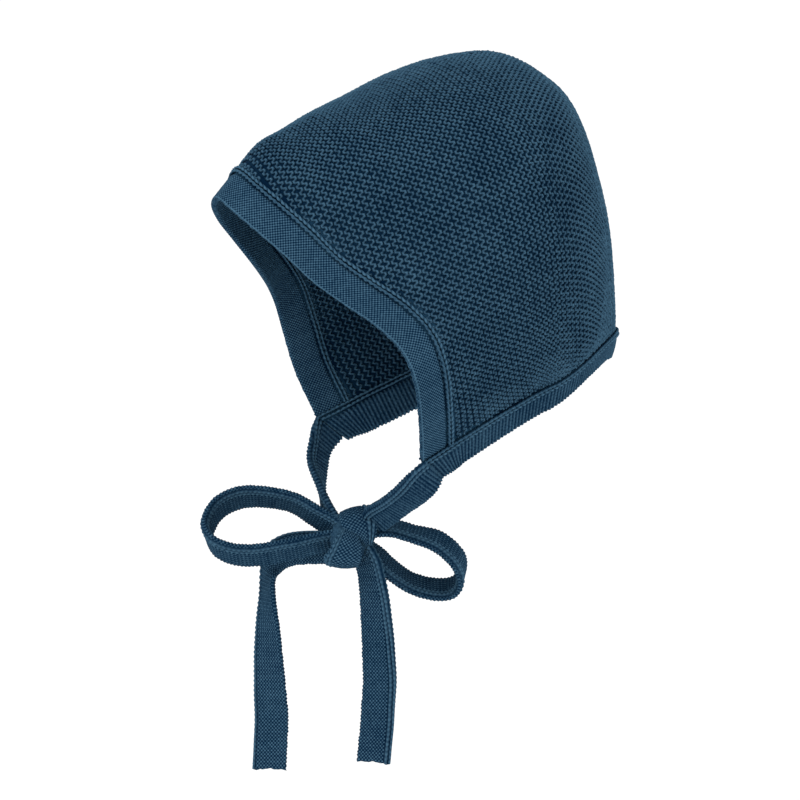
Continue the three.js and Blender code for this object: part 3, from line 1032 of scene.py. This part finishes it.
def quilt(
    shell: Shell, outer: Array, out: Array, thick: float, along: Array, across: Array, fabric: Fabric,
    bend: int = 4,
) -> None:
    """Adds a doubled strip of knit: a face, a round edge, the other face and the other edge.

    Args:
        shell: What the strip is added to.
        outer: Grid of points of its outer face, along by across.
        out: Directions out of it, the same grid.
        thick: Its thickness.
        along: Lengths along the strip.
        across: Lengths over it.
        fabric: How it is knitted.
        bend: Points of each round edge, an even number.
    """
    relief_painted_light = 1.2
    radius = thick / 2
    over = unit(np.gradient(outer, axis=1))
    middle = outer - out * radius
    count = len(across)
    angles = (np.arange(bend) + 0.5) * math.pi / bend
    near = [(0, -math.cos(a), -math.sin(a)) for a in angles]
    far = [(count - 1, math.cos(a), math.sin(a)) for a in angles]
    face = [(k, 1.0, 0.0) for k in range(count)]
    turned = [(k, -1.0, 0.0) for k in reversed(range(count))]
    ring = near[bend // 2:] + face + far + turned + near[:bend // 2]
    columns = np.array([k for k, _, _ in ring])
    share = np.array([(normal, sideways) for _, normal, sideways in ring])
    facing = out[:, columns] * share[None, :, :1] + over[:, columns] * share[None, :, 1:]
    aside = np.where(columns == 0, -radius, radius) * np.abs(share[:, 1])
    u, v = along[:, None], (across[columns] + aside)[None, :]
    rise = fabric.height(u, v)
    points = middle[:, columns] + facing * (radius + rise[..., None])
    rows, size = points.shape[:2]
    faces = grid_faces(rows, size, closed=True)
    caps = np.array([[i, i + 1, size - 2 - i, size - 1 - i] for i in range(size // 2 - 1)])
    faces = np.concatenate([faces, caps, caps[:, ::-1] + (rows - 1) * size])
    ahead = np.gradient(outer, axis=0)
    if np.mean(np.sum(np.cross(ahead, over) * out, axis=-1)) < 0:
        faces = faces[:, ::-1]
    # Painted light: the colour is lighter where the knit stands high and darker in its hollows, from the fabric's
    # level
    painted_light = np.clip(fabric.level + rise * relief_painted_light, 0, 1).reshape(-1)
    shell.add(points.reshape(-1, 3), faces, painted_light, fabric.stitches(u, v).reshape(-1, 3))


def even_shares(line: Callable[[Array], Array], low: float, high: float, step: float) -> tuple[Array, Array]:
    """Shares of a line at even lengths.

    Args:
        line: Points of the line for shares of it.
        low: The first share.
        high: The last share.
        step: About how far apart the points are to be.

    Returns:
        The shares and the lengths run at them.
    """
    fine = np.linspace(low, high, EVEN_RUN)
    run = run_of(line(fine))
    count = max(2, int(round(run[-1] / step)) + 1)
    even = np.linspace(0, run[-1], count)
    return np.interp(even, run, fine), even


@dataclass(frozen=True)
class Chain:
    """The yarn of a seam's chains: its thickness, its links and how uneven they are.

    Lengths are in millimetres, slip is in radians and the rest are shares. The chains on the inside
    of the cloth are plainer than those on its outside.
    """

    yarn: float = 0.58
    link: float = 2.3
    step: float = 0.46
    ply: float = 0.22
    sides: int = 8
    slip: float = 0.8
    slip_reach: float = 40.0
    wobble: float = 0.10
    wobble_reach: float = 21.0
    sway: float = 0.10
    swell: float = 0.16
    loose: float = 0.06
    loose_reach: float = 6.0
    lift: float = 0.16
    # How far each link's top is painted lighter and its ends darker, as painted light
    painted_light: float = 0.22
    inner_yarn: float = 0.92
    inner_sides: int = 4
    inner_clear: float = 0.02
    inner_lift: float = 0.12


@dataclass
class Bands:
    """The doubled band round the face, the ribbed band round the neck, and the chains along them.

    The neck band hangs wider between two depths of the crown, and tucks in under the nape. The depths
    and fades of both are those of CrownForm.
    """

    form: CrownForm
    face_width: float = 12.4
    seam_width: float = 2.6
    neck_width: float = 9.4
    gap: float = 0.3
    tie_width: float = 14.5
    face_step: float = 0.50
    neck_step: float = 0.356
    plain_step: float = 0.62
    chain: Chain = Chain()
    hang: float = 0.24
    hang_to: float = 1.9
    hang_fade: float = 0.9
    hang_front: float = 0.20
    hang_front_fade: float = 0.45
    tuck: float = 2.4
    tuck_from: float = 1.4
    tuck_fade: float = 0.4
    neck_below: float = 0.9
    neck_under: float = 0.4
    neck_out: float = 0.3
    neck_thicker: float = 0.4
    # Painted light of the neck band's knit
    neck_painted_light: float = 0.25
    roll_at: float = 0.35
    roll_step: float = 0.44
    roll_link: float = 1.5
    roll_yarn: float = 0.42
    roll_swell: float = 0.18
    # Painted highlight on each link of the roll
    roll_painted_light: float = 0.25
    backing_step: float = 1.6
    backing_before: float = 1.0
    backing_after: float = 1.5
    backing_sunk: float = 0.62
    backing_thick: float = 1.3

    @property
    def neck_full(self) -> float:
        """Width of the neck seam and band together."""
        return self.seam_width + self.gap + self.neck_width

    def neck_line(self, share: Array, down: Array | float) -> Array:
        """Points that lie down from the neck edge.

        Args:
            share: From -1 at the right face corner to 1 at the left one.
            down: How far down, in millimetres.

        Returns:
            The points.
        """
        share, down = np.broadcast_arrays(np.asarray(share, float), np.asarray(down, float))
        side = np.where(share < 0, -1.0, 1.0)
        depth = 2 * (1 - np.abs(share))
        return self.form.neck_point(depth, side, down / self.neck_full, self.tie_width, self.neck_full)

    def face_line(self, share: Array, behind: float) -> tuple[Array, Array]:
        """Points and outward directions along the face edge, a length behind it."""
        return self.form.surface(self.form.depth_at(share, behind), share)

    def face_band(self) -> None:
        """The fine-knit band round the face."""
        share, along = even_shares(
            lambda w: self.face_line(w, 0.5 * self.face_width)[0], -1.0, 1.0, self.face_step)
        radius = self.form.wall / 2
        over = np.linspace(radius, self.face_width - radius + self.gap, int(self.face_width / self.face_step))
        depths = np.stack([self.form.depth_at(share, self.face_width - d) for d in over], 1)
        outer, out = self.form.surface(depths, share[:, None])
        shell = Shell.empty()
        quilt(shell, outer, out, self.form.wall, along, over, Fabric(Knit.FINE, self.face_width), 6)
        shell.piece("face_band_knit", KNIT_MATERIAL, ["face_band"])

    def face_roll(self) -> None:
        """The thin chain that rolls round the free edge of the face band."""
        shell = Shell.empty()
        share, along = even_shares(lambda w: self.face_line(w, self.roll_at)[0], -1.0, 1.0, self.roll_step)
        base, up = self.face_line(share, self.roll_at)
        link = np.cos(TURN * along / self.roll_link)
        radius = self.roll_yarn * (1 + self.roll_swell * link)
        # Painted light along the roll: each link's top lighter, its ends darker
        rise = 1 - self.roll_painted_light + self.roll_painted_light * link
        yarn_tube(shell, base - up * self.roll_at, up, radius, 6, rise=rise)
        shell.piece("face_band_roll", KNIT_MATERIAL, ["face_band"])

    def outward(self, grid: Array) -> Array:
        """Directions out of a grid of points on the neck band."""
        out = unit(np.cross(np.gradient(grid, axis=0), np.gradient(grid, axis=1)))
        return out if np.mean(out[:, 0, 0] * grid[:, 0, 0]) > 0 else -out

    def neck_band(self) -> None:
        """The ribbed band, which hangs wider at the side and tucks in under the nape."""
        share, along = even_shares(lambda w: self.neck_line(w, 0.5 * self.neck_full), -1.0, 1.0, self.neck_step)
        radius = self.form.wall / 2
        first = self.seam_width + self.gap
        low = self.neck_full - radius + self.neck_below
        over = np.linspace(first + radius - self.neck_under, low, int(self.neck_width / self.plain_step))
        depth = 2 * (1 - np.abs(share))
        grown = mix(self.hang_front, 1.0, ease(depth / self.hang_front_fade))
        hang = 1 + self.hang * ease((self.hang_to - depth) / self.hang_fade) * grown
        outer = self.neck_line(share[:, None], first + (over[None, :] - first) * hang[:, None])
        tuck = self.tuck * ease((depth - self.tuck_from) / self.tuck_fade)[:, None] * (over / low) ** 2
        outer = outer - self.outward(outer) * tuck[..., None]
        out = self.outward(outer)
        shell = Shell.empty()
        fabric = Fabric(Knit.RIBBED, low + radius, level=self.neck_painted_light, ribbed=1.0, seed=1)
        outer = outer + out * self.neck_out
        quilt(shell, outer, out, self.form.wall + self.neck_thicker, along, over, fabric)
        shell.piece("neck_band_knit", KNIT_MATERIAL, ["neck_band"])

    def chains(self, name: str, line: Callable[[Array, float], tuple[Array, Array]],
               places: tuple[float, float], raised: float) -> None:
        """Chains of yarn along a seam, two on each side of the cloth, on a dark strip of painted shade.

        Args:
            name: The seam's solid, which also begins the pieces' names.
            line: Points and outward directions for shares of the seam and a length over it.
            places: How far over the seam each chain lies.
            raised: How far the chains' middles stand above the cloth.
        """
        chain = self.chain
        shell = Shell.empty()
        rng = np.random.default_rng(SEED + len(name))
        for number, over in enumerate(places):
            share, along = even_shares(lambda w, over=over: line(w, over)[0], -1.0, 1.0, chain.step)
            base, up = line(share, over)
            slip = chain.slip * wander(along, chain.slip_reach, rng)
            link = np.cos(TURN * (along / chain.link + 0.5 * number) + slip)
            wobble = chain.wobble * wander(along, chain.wobble_reach, rng)
            sideways = unit(np.cross(np.gradient(base, axis=0), up))
            middle = base + sideways * (wobble + chain.sway * link)[:, None]
            loose = chain.loose * wander(along, chain.loose_reach, rng)
            radius = chain.yarn * (1 + chain.swell * link + loose)
            # Painted light along the chain: each link's top lighter, its ends darker
            rise = 1 - chain.painted_light + chain.painted_light * link
            twist = (1 - 2 * number) * math.pi * along / chain.link
            outer = middle + up * (raised + chain.lift * link[:, None])
            yarn_tube(shell, outer, up, radius, chain.sides, twist, chain.ply, rise)
            inner = middle - up * (self.form.wall + chain.inner_clear + chain.inner_lift * link[:, None])
            yarn_tube(shell, inner, -up, radius * chain.inner_yarn, chain.inner_sides, rise=rise)
        shell.piece(f"{name}_chains", SEAM_MATERIAL, [name], "seam_wool")
        self.shaded_backing(name, line)

    def shaded_backing(self, name: str, line: Callable[[Array, float], tuple[Array, Array]]) -> None:
        """The plain strip under a seam's chains, in the core's darker wool as painted shade.

        Args:
            name: The seam's solid, which also begins the piece's name.
            line: Points and outward directions for shares of the seam and a length over it.
        """
        shell = Shell.empty()
        share, along = even_shares(lambda w: line(w, self.seam_width / 2)[0], -1.0, 1.0, self.backing_step)
        over = np.linspace(-self.backing_before, self.seam_width + self.backing_after, 7)
        base, up = (np.stack(parts, 1) for parts in zip(*(line(share, float(d)) for d in over)))
        far, no_stitch = 100.0, 50.0
        plain = Fabric(Knit.FINE, far, stitch_along=no_stitch, stitch_across=no_stitch)
        quilt(shell, base - up * self.backing_sunk, up, self.backing_thick, along, over, plain)
        # The strip is dark as painted shade under the chains
        shell.piece(f"{name}_backing", SHADED_CORE_MATERIAL, [name], "seam_wool")

    def face_seam_line(self, share: Array, over: float) -> tuple[Array, Array]:
        """Points and outward directions along the face seam, a length over from its start."""
        return self.face_line(share, self.face_width + self.gap + over)

    def neck_seam_line(self, share: Array, over: float) -> tuple[Array, Array]:
        """Points and outward directions along the neck seam, a length down from its start."""
        step = 0.2
        here = self.neck_line(share, over)
        down = self.neck_line(share, over + step) - self.neck_line(share, over - step)
        out = unit(np.cross(np.gradient(here, axis=0), down))
        if np.mean(out[:, 0] * here[:, 0]) < 0:
            out = -out
        return here, out

    def build(self) -> None:
        """Makes every band and chain."""
        self.face_band()
        self.face_roll()
        self.neck_band()
        self.chains("face_seam", self.face_seam_line, places=(0.55, 2.05), raised=0.20)
        self.chains("neck_seam", self.neck_seam_line, places=(0.15, 1.72), raised=0.60)


@dataclass(frozen=True)
class StrapPath:
    """A strap's middles and the directions from its seamed edge to its plain one, in shares of a scale.

    Rib, inset and ribbed are those of its Fabric. Gathered gives the shares of its width to which its
    start and its end are drawn together.
    """

    name: str
    node: str
    scale: float
    rows: tuple[tuple[float, ...], ...]
    rib: float = 1.78
    inset: float = 2.2
    ribbed: float = 1.0
    gathered: tuple[float, float] = (1.0, 1.0)


LOOP_LEFT = StrapPath("bow_loop_left_knit", "bow_loop_left", 60.0, (
    (0.004, 0.020, 0.030, -0.84, 0.46, 0.28),
    (0.014, 0.141, 0.060, -0.83, 0.50, 0.25),
    (0.061, 0.290, 0.066, -0.80, 0.56, 0.20),
    (0.143, 0.425, 0.027, -0.78, 0.59, 0.19),
    (0.207, 0.574, -0.032, -0.72, 0.60, 0.32),
    (0.245, 0.699, -0.153, -0.69, 0.65, 0.30),
    (0.211, 0.757, -0.286, -0.75, 0.57, 0.32),
    (0.140, 0.727, -0.379, -0.81, 0.45, 0.36),
    (0.085, 0.618, -0.392, -0.83, 0.41, 0.38),
    (0.034, 0.472, -0.341, -0.82, 0.44, 0.36),
    (0.020, 0.342, -0.248, -0.77, 0.55, 0.33),
    (0.011, 0.210, -0.125, -0.71, 0.66, 0.25),
    (0.004, 0.080, -0.020, -0.68, 0.70, 0.20),
), rib=1.5, ribbed=0.45, gathered=(0.8, 0.8))
LOOP_RIGHT = StrapPath("bow_loop_right_knit", "bow_loop_right", 60.0, (
    (0.030, 0.010, 0.000, -0.66, 0.00, -0.75),
    (-0.098, -0.043, 0.073, -0.68, 0.01, -0.73),
    (-0.260, -0.119, 0.136, -0.70, 0.11, -0.70),
    (-0.436, -0.204, 0.198, -0.68, 0.21, -0.70),
    (-0.605, -0.335, 0.212, -0.59, 0.31, -0.74),
    (-0.726, -0.462, 0.193, -0.52, 0.37, -0.77),
    (-0.766, -0.605, 0.121, -0.49, 0.42, -0.76),
    (-0.698, -0.712, 0.005, -0.47, 0.44, -0.76),
    (-0.568, -0.722, -0.076, -0.49, 0.42, -0.77),
    (-0.448, -0.627, -0.123, -0.52, 0.38, -0.77),
    (-0.351, -0.480, -0.122, -0.53, 0.38, -0.76),
    (-0.234, -0.312, -0.077, -0.54, 0.39, -0.74),
    (-0.124, -0.135, -0.025, -0.52, 0.42, -0.74),
    (-0.030, 0.000, 0.020, -0.50, 0.46, -0.73),
), rib=1.5, ribbed=0.45, gathered=(0.85, 0.85))
END_LEFT = StrapPath("tie_end_left_knit", "tie_end_left", 92.0, (
    (0.022, 0.035, 0.015, -0.80, -0.30, -0.52),
    (0.035, 0.066, -0.062, -0.86, -0.30, -0.40),
    (0.046, 0.087, -0.142, -0.92, -0.30, -0.24),
    (0.067, 0.093, -0.255, -0.88, -0.44, -0.16),
    (0.101, 0.095, -0.419, -0.78, -0.62, -0.11),
    (0.137, 0.088, -0.609, -0.63, -0.77, -0.06),
    (0.167, 0.065, -0.761, -0.50, -0.86, 0.00),
    (0.194, 0.026, -0.958, -0.48, -0.87, 0.11),
), rib=1.5, inset=1.0, ribbed=0.0, gathered=(0.5, 1.0))
END_RIGHT = StrapPath("tie_end_right_knit", "tie_end_right", 92.0, (
    (0.020, 0.040, -0.030, 0.08, -0.27, -0.96),
    (-0.085, -0.012, -0.045, 0.12, -0.21, -0.97),
    (-0.206, -0.095, -0.065, 0.16, -0.15, -0.98),
    (-0.286, -0.160, -0.090, 0.35, -0.07, -0.93),
    (-0.309, -0.215, -0.134, 0.80, 0.02, -0.60),
    (-0.290, -0.243, -0.199, 0.98, -0.12, 0.00),
    (-0.256, -0.262, -0.288, 0.98, -0.06, 0.18),
    (-0.203, -0.287, -0.444, 0.93, 0.30, 0.20),
    (-0.132, -0.314, -0.669, 0.76, 0.64, 0.11),
    (-0.090, -0.336, -0.837, 0.50, 0.86, 0.03),
    (-0.044, -0.369, -0.998, 0.47, 0.88, 0.00),
), rib=1.5, inset=-0.7, ribbed=0.0, gathered=(0.7, 1.0))
# Ties: the share run towards the knot stands before the same columns
TIE_LEFT = StrapPath("tie_left_knit", "tie_left", 1.0, (
    (0.00, 0.00, 0.00, 0.00, 0.03, 0.71, -0.70),
    (0.15, 0.02, 0.00, -0.02, 0.10, 0.80, -0.60),
    (0.43, 0.00, 0.04, -0.01, -0.03, 0.86, -0.50),
    (0.69, -0.04, 0.08, 0.01, -0.10, 0.71, -0.70),
    (0.87, -0.04, 0.08, 0.01, -0.35, 0.49, -0.80),
), gathered=(1.0, 0.75))
TIE_RIGHT = StrapPath("tie_right_knit", "tie_right", 1.0, (
    (0.00, 0.00, 0.00, 0.00, -0.03, 0.71, -0.70),
    (0.12, -0.05, -0.07, -0.03, -0.23, 0.77, -0.60),
    (0.27, -0.07, -0.11, -0.04, -0.35, 0.77, -0.54),
    (0.49, -0.05, -0.12, -0.02, -0.64, 0.45, -0.62),
    (0.70, -0.03, -0.10, 0.01, -0.79, 0.18, -0.59),
    (0.85, 0.00, -0.04, 0.02, -0.81, 0.00, -0.59),
), gathered=(1.0, 0.8))


@dataclass(frozen=True)
class KnotFold:
    """One fold of the knot, seen from the front, as rows down its length.

    The columns are the seamed edge, right and up of the knot's middle, the plain edge in the same way,
    and the distance towards the viewer.
    """

    name: str
    swell: float
    chain_half: float
    rows: tuple[tuple[float, float, float, float, float], ...]


LOWER_FOLD = KnotFold("bow_knot_front", 1.3, 0.45, (
    (-0.2, 8.2, 3.6, 6.8, 1.0),
    (-1.8, 5.6, 4.4, 3.2, 5.6),
    (-4.4, 1.4, 5.8, -1.2, 7.6),
    (-7.2, -3.4, 6.2, -5.4, 8.0),
    (-9.4, -7.0, 5.6, -8.6, 6.4),
    (-9.2, -9.0, 5.0, -10.2, 2.6),
    (-7.6, -8.8, 4.0, -9.8, -2.5),
))
UPPER_FOLD = KnotFold("bow_knot_back", 1.3, 0.70, (
    (9.0, 12.6, -3.0, 10.0, -5.0),
    (10.4, 13.8, -3.6, 11.0, 0.4),
    (11.8, 11.6, -3.2, 8.8, 4.6),
    (12.2, 7.8, -2.0, 5.4, 6.4),
    (11.6, 3.8, 0.8, 2.8, 6.2),
    (10.6, 0.0, 3.6, 0.4, 4.4),
    (9.6, -2.0, 5.0, -1.0, 1.0),
))


@dataclass
class Bow:
    """The ties, the knot below the chin, its two loops and the two hanging ends."""

    form: CrownForm
    bands: Bands
    view: tuple[Array, Array, Array]
    width: float = 14.5
    thick: float = 2.6
    relief: float = 0.3
    knot_drop: float = 41.0
    knot_lead: float = 9.5
    step: float = 0.46
    plain_step: float = 0.62
    chained: float = 5.2
    chained_points: int = 10
    opens_over: float = 13.0
    sway: float = 0.3
    sway_reach: float = 70.0
    cut: float = 0.45
    cut_over: float = 2.0
    cut_reach: float = 9.0
    # Painted light of the loops' and ends' knit, before their relief lightens or darkens it
    bow_painted_light: float = 0.19
    # Painted light of the ties' and the knot folds' knit
    level: float = 0.20
    tie_root: float = 1.2
    tie_past: float = 1.06
    tie_share: float = 0.9
    tie_inset: float = 0.9
    fold_margin: float = 0.08
    fold_points: int = 30
    fold_thick: float = 2.2
    fold_rib: float = 1.34
    fold_inset: float = 1.8
    fold_apart: float = 2.2
    core_grid: tuple[int, int] = (40, 72)
    core_sizes: tuple[float, float, float] = (7.0, 8.0, 8.8)
    core_shift: tuple[float, float, float] = (0.0, 1.0, 0.6)
    core_painted_light: float = 0.3

    @property
    def knot(self) -> Array:
        """The knot's middle."""
        return self.form.placed(np.zeros(3)) + np.array([0.0, -self.knot_lead, -self.knot_drop])

    def strap(self, path: StrapPath, middle: Callable[[Array], Array], edge: Callable[[Array], Array],
              fabric: Fabric) -> None:
        """Knits a flat strap with chains along its seamed edge.

        Args:
            path: Its names, and the shares to which the knot gathers its two ends.
            middle: Points of its middle for shares of its length.
            edge: Directions from its seamed edge to its plain edge.
            fabric: How it is knitted.
        """
        share, along = even_shares(middle, 0.0, 1.0, self.step)
        radius = self.thick / 2
        far = self.width - radius
        near = np.linspace(radius, self.chained, self.chained_points)
        plain = np.linspace(self.chained, far, int((far - self.chained) / self.plain_step))
        over = np.concatenate([near, plain[1:]])
        way = unit(edge(share))
        first, last = (ease(run / self.opens_over) for run in (along, along[-1] - along))
        tight = mix(path.gathered[0], 1.0, first) * mix(path.gathered[1], 1.0, last)
        aside = (over - self.width / 2) * tight[:, None]
        flat = middle(share)[:, None, :] + way[:, None, :] * aside[..., None]
        sway = self.sway * wander(along, self.sway_reach, np.random.default_rng(SEED + len(path.name)))
        flat = flat + (way * sway[:, None])[:, None, :]
        uneven = wander(over, self.cut_reach, np.random.default_rng(SEED))
        cut = ease((along - along[-1] + self.cut_over) / self.cut_over)[:, None] * uneven
        flat = flat + unit(np.gradient(flat, axis=0)) * (self.cut * cut)[..., None]
        out = unit(np.cross(np.gradient(flat, axis=0), np.gradient(flat, axis=1)))
        shell = Shell.empty()
        quilt(shell, flat + out * radius, out, self.thick - self.relief, along, over, fabric)
        shell.piece(path.name, KNIT_MATERIAL, [path.node])

    def bow_strap(self, path: StrapPath) -> None:
        """A loop or a hanging end."""
        columns = list(zip(*path.rows))
        fabric = Fabric(
            Knit.TAPE, self.width, rib=path.rib, stitch_across=1.34, inset=path.inset,
            inset_start=path.inset, level=self.bow_painted_light, ribbed=path.ribbed, seed=len(path.rows))
        self.strap(path, lambda share: curves(columns[:3], share) * path.scale + self.knot,
                   lambda share: curves(columns[3:], share), fabric)

    def tie(self, path: StrapPath, side: float) -> None:
        """A tie from the neck band's end to the knot, on the wearer's left (1) or right (-1)."""
        share = np.array([side])
        start = self.bands.neck_line(share, 0.5 * self.bands.neck_full)[0]
        lower = self.bands.neck_line(share, self.bands.neck_full)[0]
        upper = self.bands.neck_line(share, 0.0)[0]
        way = unit(lower - upper)
        columns = [list(column) for column in zip(*path.rows)]
        for k in range(3):
            columns[4 + k][0] = float(way[k])
        span = self.knot - start
        length = float(np.linalg.norm(span))

        def middle(at: Array) -> Array:
            """Middles of the tie."""
            run = smooth(columns[0], at) / columns[0][-1] * self.tie_share
            towards = mix(-self.tie_root / length, self.tie_past, run)
            return start + span * towards[:, None] + curves(columns[1:4], at) * length

        fabric = Fabric(
            Knit.TAPE, self.width, rib=path.rib, inset=path.inset, inset_start=self.tie_inset,
            level=self.level, ribbed=path.ribbed, seed=3)
        self.strap(path, middle, lambda at: curves(columns[4:], at), fabric)

    def fold(self, fold: KnotFold) -> None:
        """One fold of the knot, a strap drawn tight round the others."""
        right, up, towards = self.view
        seam_x, seam_y, plain_x, plain_y, outward = zip(*fold.rows)

        def at(x: Sequence[float], y: Sequence[float], share: Array) -> Array:
            """Points seen at x and y from the knot."""
            flat = smooth(x, share)[:, None] * right + smooth(y, share)[:, None] * up
            return self.knot + flat + smooth(outward, share)[:, None] * towards

        def middle(share: Array) -> Array:
            """Middles of the fold."""
            return (at(seam_x, seam_y, share) + at(plain_x, plain_y, share)) / 2

        share, along = even_shares(middle, 0.0, 1.0, self.step)
        first, second = at(seam_x, seam_y, share), at(plain_x, plain_y, share)
        spread = np.linspace(self.fold_margin, 1 - self.fold_margin, self.fold_points)
        flat = mix(first[:, None, :], second[:, None, :], spread[None, :, None])
        out = unit(np.cross(np.gradient(flat, axis=0), np.gradient(flat, axis=1)))
        if np.mean(out[len(out) // 2] @ towards) < 0:
            out = -out
        bulge = fold.swell * (1 - (2 * spread - 1) ** 2)
        flat = flat + out * bulge[None, :, None]
        width = float(np.mean(np.linalg.norm(second - first, axis=1)))
        half = fold.chain_half
        inset = self.fold_inset * half
        fabric = Fabric(
            Knit.TAPE, width, rib=self.fold_rib, inset=inset, inset_start=inset,
            apart=self.fold_apart * half, chain_half=half, level=self.level)
        shell = Shell.empty()
        quilt(shell, flat, out, self.fold_thick, along, spread * width, fabric)
        shell.piece(fold.name, KNIT_MATERIAL, ["bow_knot"])

    def knot_core(self) -> None:
        """The rounded middle of the knot, where the straps cross under its folds."""
        rows, columns = self.core_grid
        top, rib_high, rib_count, row_high, row_pace = 0.97, 0.035, 11, 0.03, 22
        around = np.linspace(0, TURN, columns, endpoint=False)
        tall = np.linspace(-top, top, rows)[:, None]
        ring = np.sqrt(1 - tall**2)
        ball = np.stack(np.broadcast_arrays(ring * np.cos(around), ring * np.sin(around), tall), -1)
        knit = 1 + rib_high * np.cos(around * rib_count) + row_high * np.cos(tall * row_pace)
        points = ball * self.core_sizes * knit[..., None] + self.knot + self.core_shift
        faces = grid_faces(rows, columns, closed=True)[:, ::-1]
        caps = end_caps(columns, (rows - 1) * columns)
        shell = Shell.empty()
        # An even painted light for the knot's middle
        shell.add(points.reshape(-1, 3), np.concatenate([faces, caps]), self.core_painted_light)
        shell.piece("bow_knot_core", KNIT_MATERIAL, ["bow_knot"])

    def build(self) -> None:
        """Makes every strap and fold."""
        for path in (LOOP_LEFT, LOOP_RIGHT, END_LEFT, END_RIGHT):
            self.bow_strap(path)
        self.tie(TIE_LEFT, 1.0)
        self.tie(TIE_RIGHT, -1.0)
        self.knot_core()
        self.fold(LOWER_FOLD)
        self.fold(UPPER_FOLD)


# The studio


@dataclass(frozen=True)
class Studio:
    """A pale floor, soft light all round and the photographer's place."""

    azimuth_deg: float = 62.0
    elevation_deg: float = 12.0
    distance: float = 1400.0
    frame_width: float = 320.0
    sensor: float = 36.0
    aim_from: tuple[float, float, float] = (0.0, -29.3, -146.5)
    aim_right: float = 12.72
    aim_up: float = 15.36
    clip: tuple[float, float] = (0.05, 50.0)
    floor_at: float = -0.34
    floor_reach: float = 14.0
    floor_shade: float = 0.99
    surround: float = 1.05
    lamp_place: tuple[float, float, float] = (-0.9, 1.3, 1.2)
    lamp_aim: tuple[float, float, float] = (0.0, 0.0, -0.12)
    lamp_size: float = 0.7
    lamp_power: float = 7.0

    def view(self) -> tuple[Array, Array, Array]:
        """Directions to the right, up and towards the camera."""
        a, e = math.radians(self.azimuth_deg), math.radians(self.elevation_deg)
        right = np.array([math.cos(a), math.sin(a), 0.0])
        up = np.array([-math.sin(a) * math.sin(e), math.cos(a) * math.sin(e), math.cos(e)])
        back = np.array([math.sin(a) * math.cos(e), -math.cos(a) * math.cos(e), math.sin(e)])
        return right, up, back

    def camera(self) -> None:
        """Stands the camera where the photograph was taken from."""
        right, up, back = self.view()
        target = np.array(self.aim_from) + self.aim_right * right + self.aim_up * up
        data = bpy.data.cameras.new("camera")
        data.sensor_width = self.sensor
        data.lens = self.sensor * self.distance / self.frame_width
        data.clip_start, data.clip_end = self.clip
        camera = bpy.data.objects.new("camera", data)
        camera.location = Vector((target + back * self.distance) * MM)
        camera.rotation_euler = Vector(back).to_track_quat("Z", "Y").to_euler()
        bpy.context.scene.collection.objects.link(camera)
        bpy.context.scene.camera = camera

    def lamp(self) -> None:
        """Hangs one soft lamp, to the left, above and in front, that looks at the bonnet."""
        right, up, back = (Vector(v) for v in self.view())
        data = bpy.data.lights.new("key", "AREA")
        data.shape, data.size, data.energy = "DISK", self.lamp_size, self.lamp_power
        lamp = bpy.data.objects.new("key", data)
        spot = right * self.lamp_place[0] + up * self.lamp_place[1] + back * self.lamp_place[2]
        lamp.location = spot + Vector(self.lamp_aim)
        lamp.rotation_euler = spot.to_track_quat("Z", "Y").to_euler()
        bpy.context.scene.collection.objects.link(lamp)

    def floor(self) -> None:
        """Lays the floor."""
        low, high = -self.floor_reach, self.floor_reach
        corners = [(low, low), (high, low), (high, high), (low, high)]
        mesh = bpy.data.meshes.new("floor")
        mesh.from_pydata([(x, y, self.floor_at) for x, y in corners], [], [(0, 1, 2, 3)])
        dye = Dye("pale_floor")
        shade = (self.floor_shade,) * 3
        dye.fill(dye.shader, Base_Color=(*shade, 1.0), Roughness=1.0, Specular_IOR_Level=0.0)
        mesh.materials.append(dye.material)
        floor = bpy.data.objects.new("floor", mesh)
        bpy.context.scene.collection.objects.link(floor)

    def build(self) -> None:
        """Sets up the whole studio."""
        scene = bpy.context.scene
        scene.view_settings.view_transform = "Standard"
        world = bpy.data.worlds.new("studio")
        scene.world = world
        world.use_nodes = True
        backdrop = world.node_tree.nodes["Background"]
        backdrop.inputs["Color"].default_value = (1.0, 1.0, 1.0, 1.0)
        backdrop.inputs["Strength"].default_value = self.surround
        self.camera()
        self.floor()
        self.lamp()


def main() -> None:
    """Dresses the bonnet.
    """
    logging.basicConfig(level=logging.INFO)
    studio = Studio()
    form = CrownForm()
    bands = Bands(form)
    Crown(form).build()
    bands.build()
    Bow(form, bands, studio.view()).build()
    studio.build()


if __name__ == "__main__":
    main()
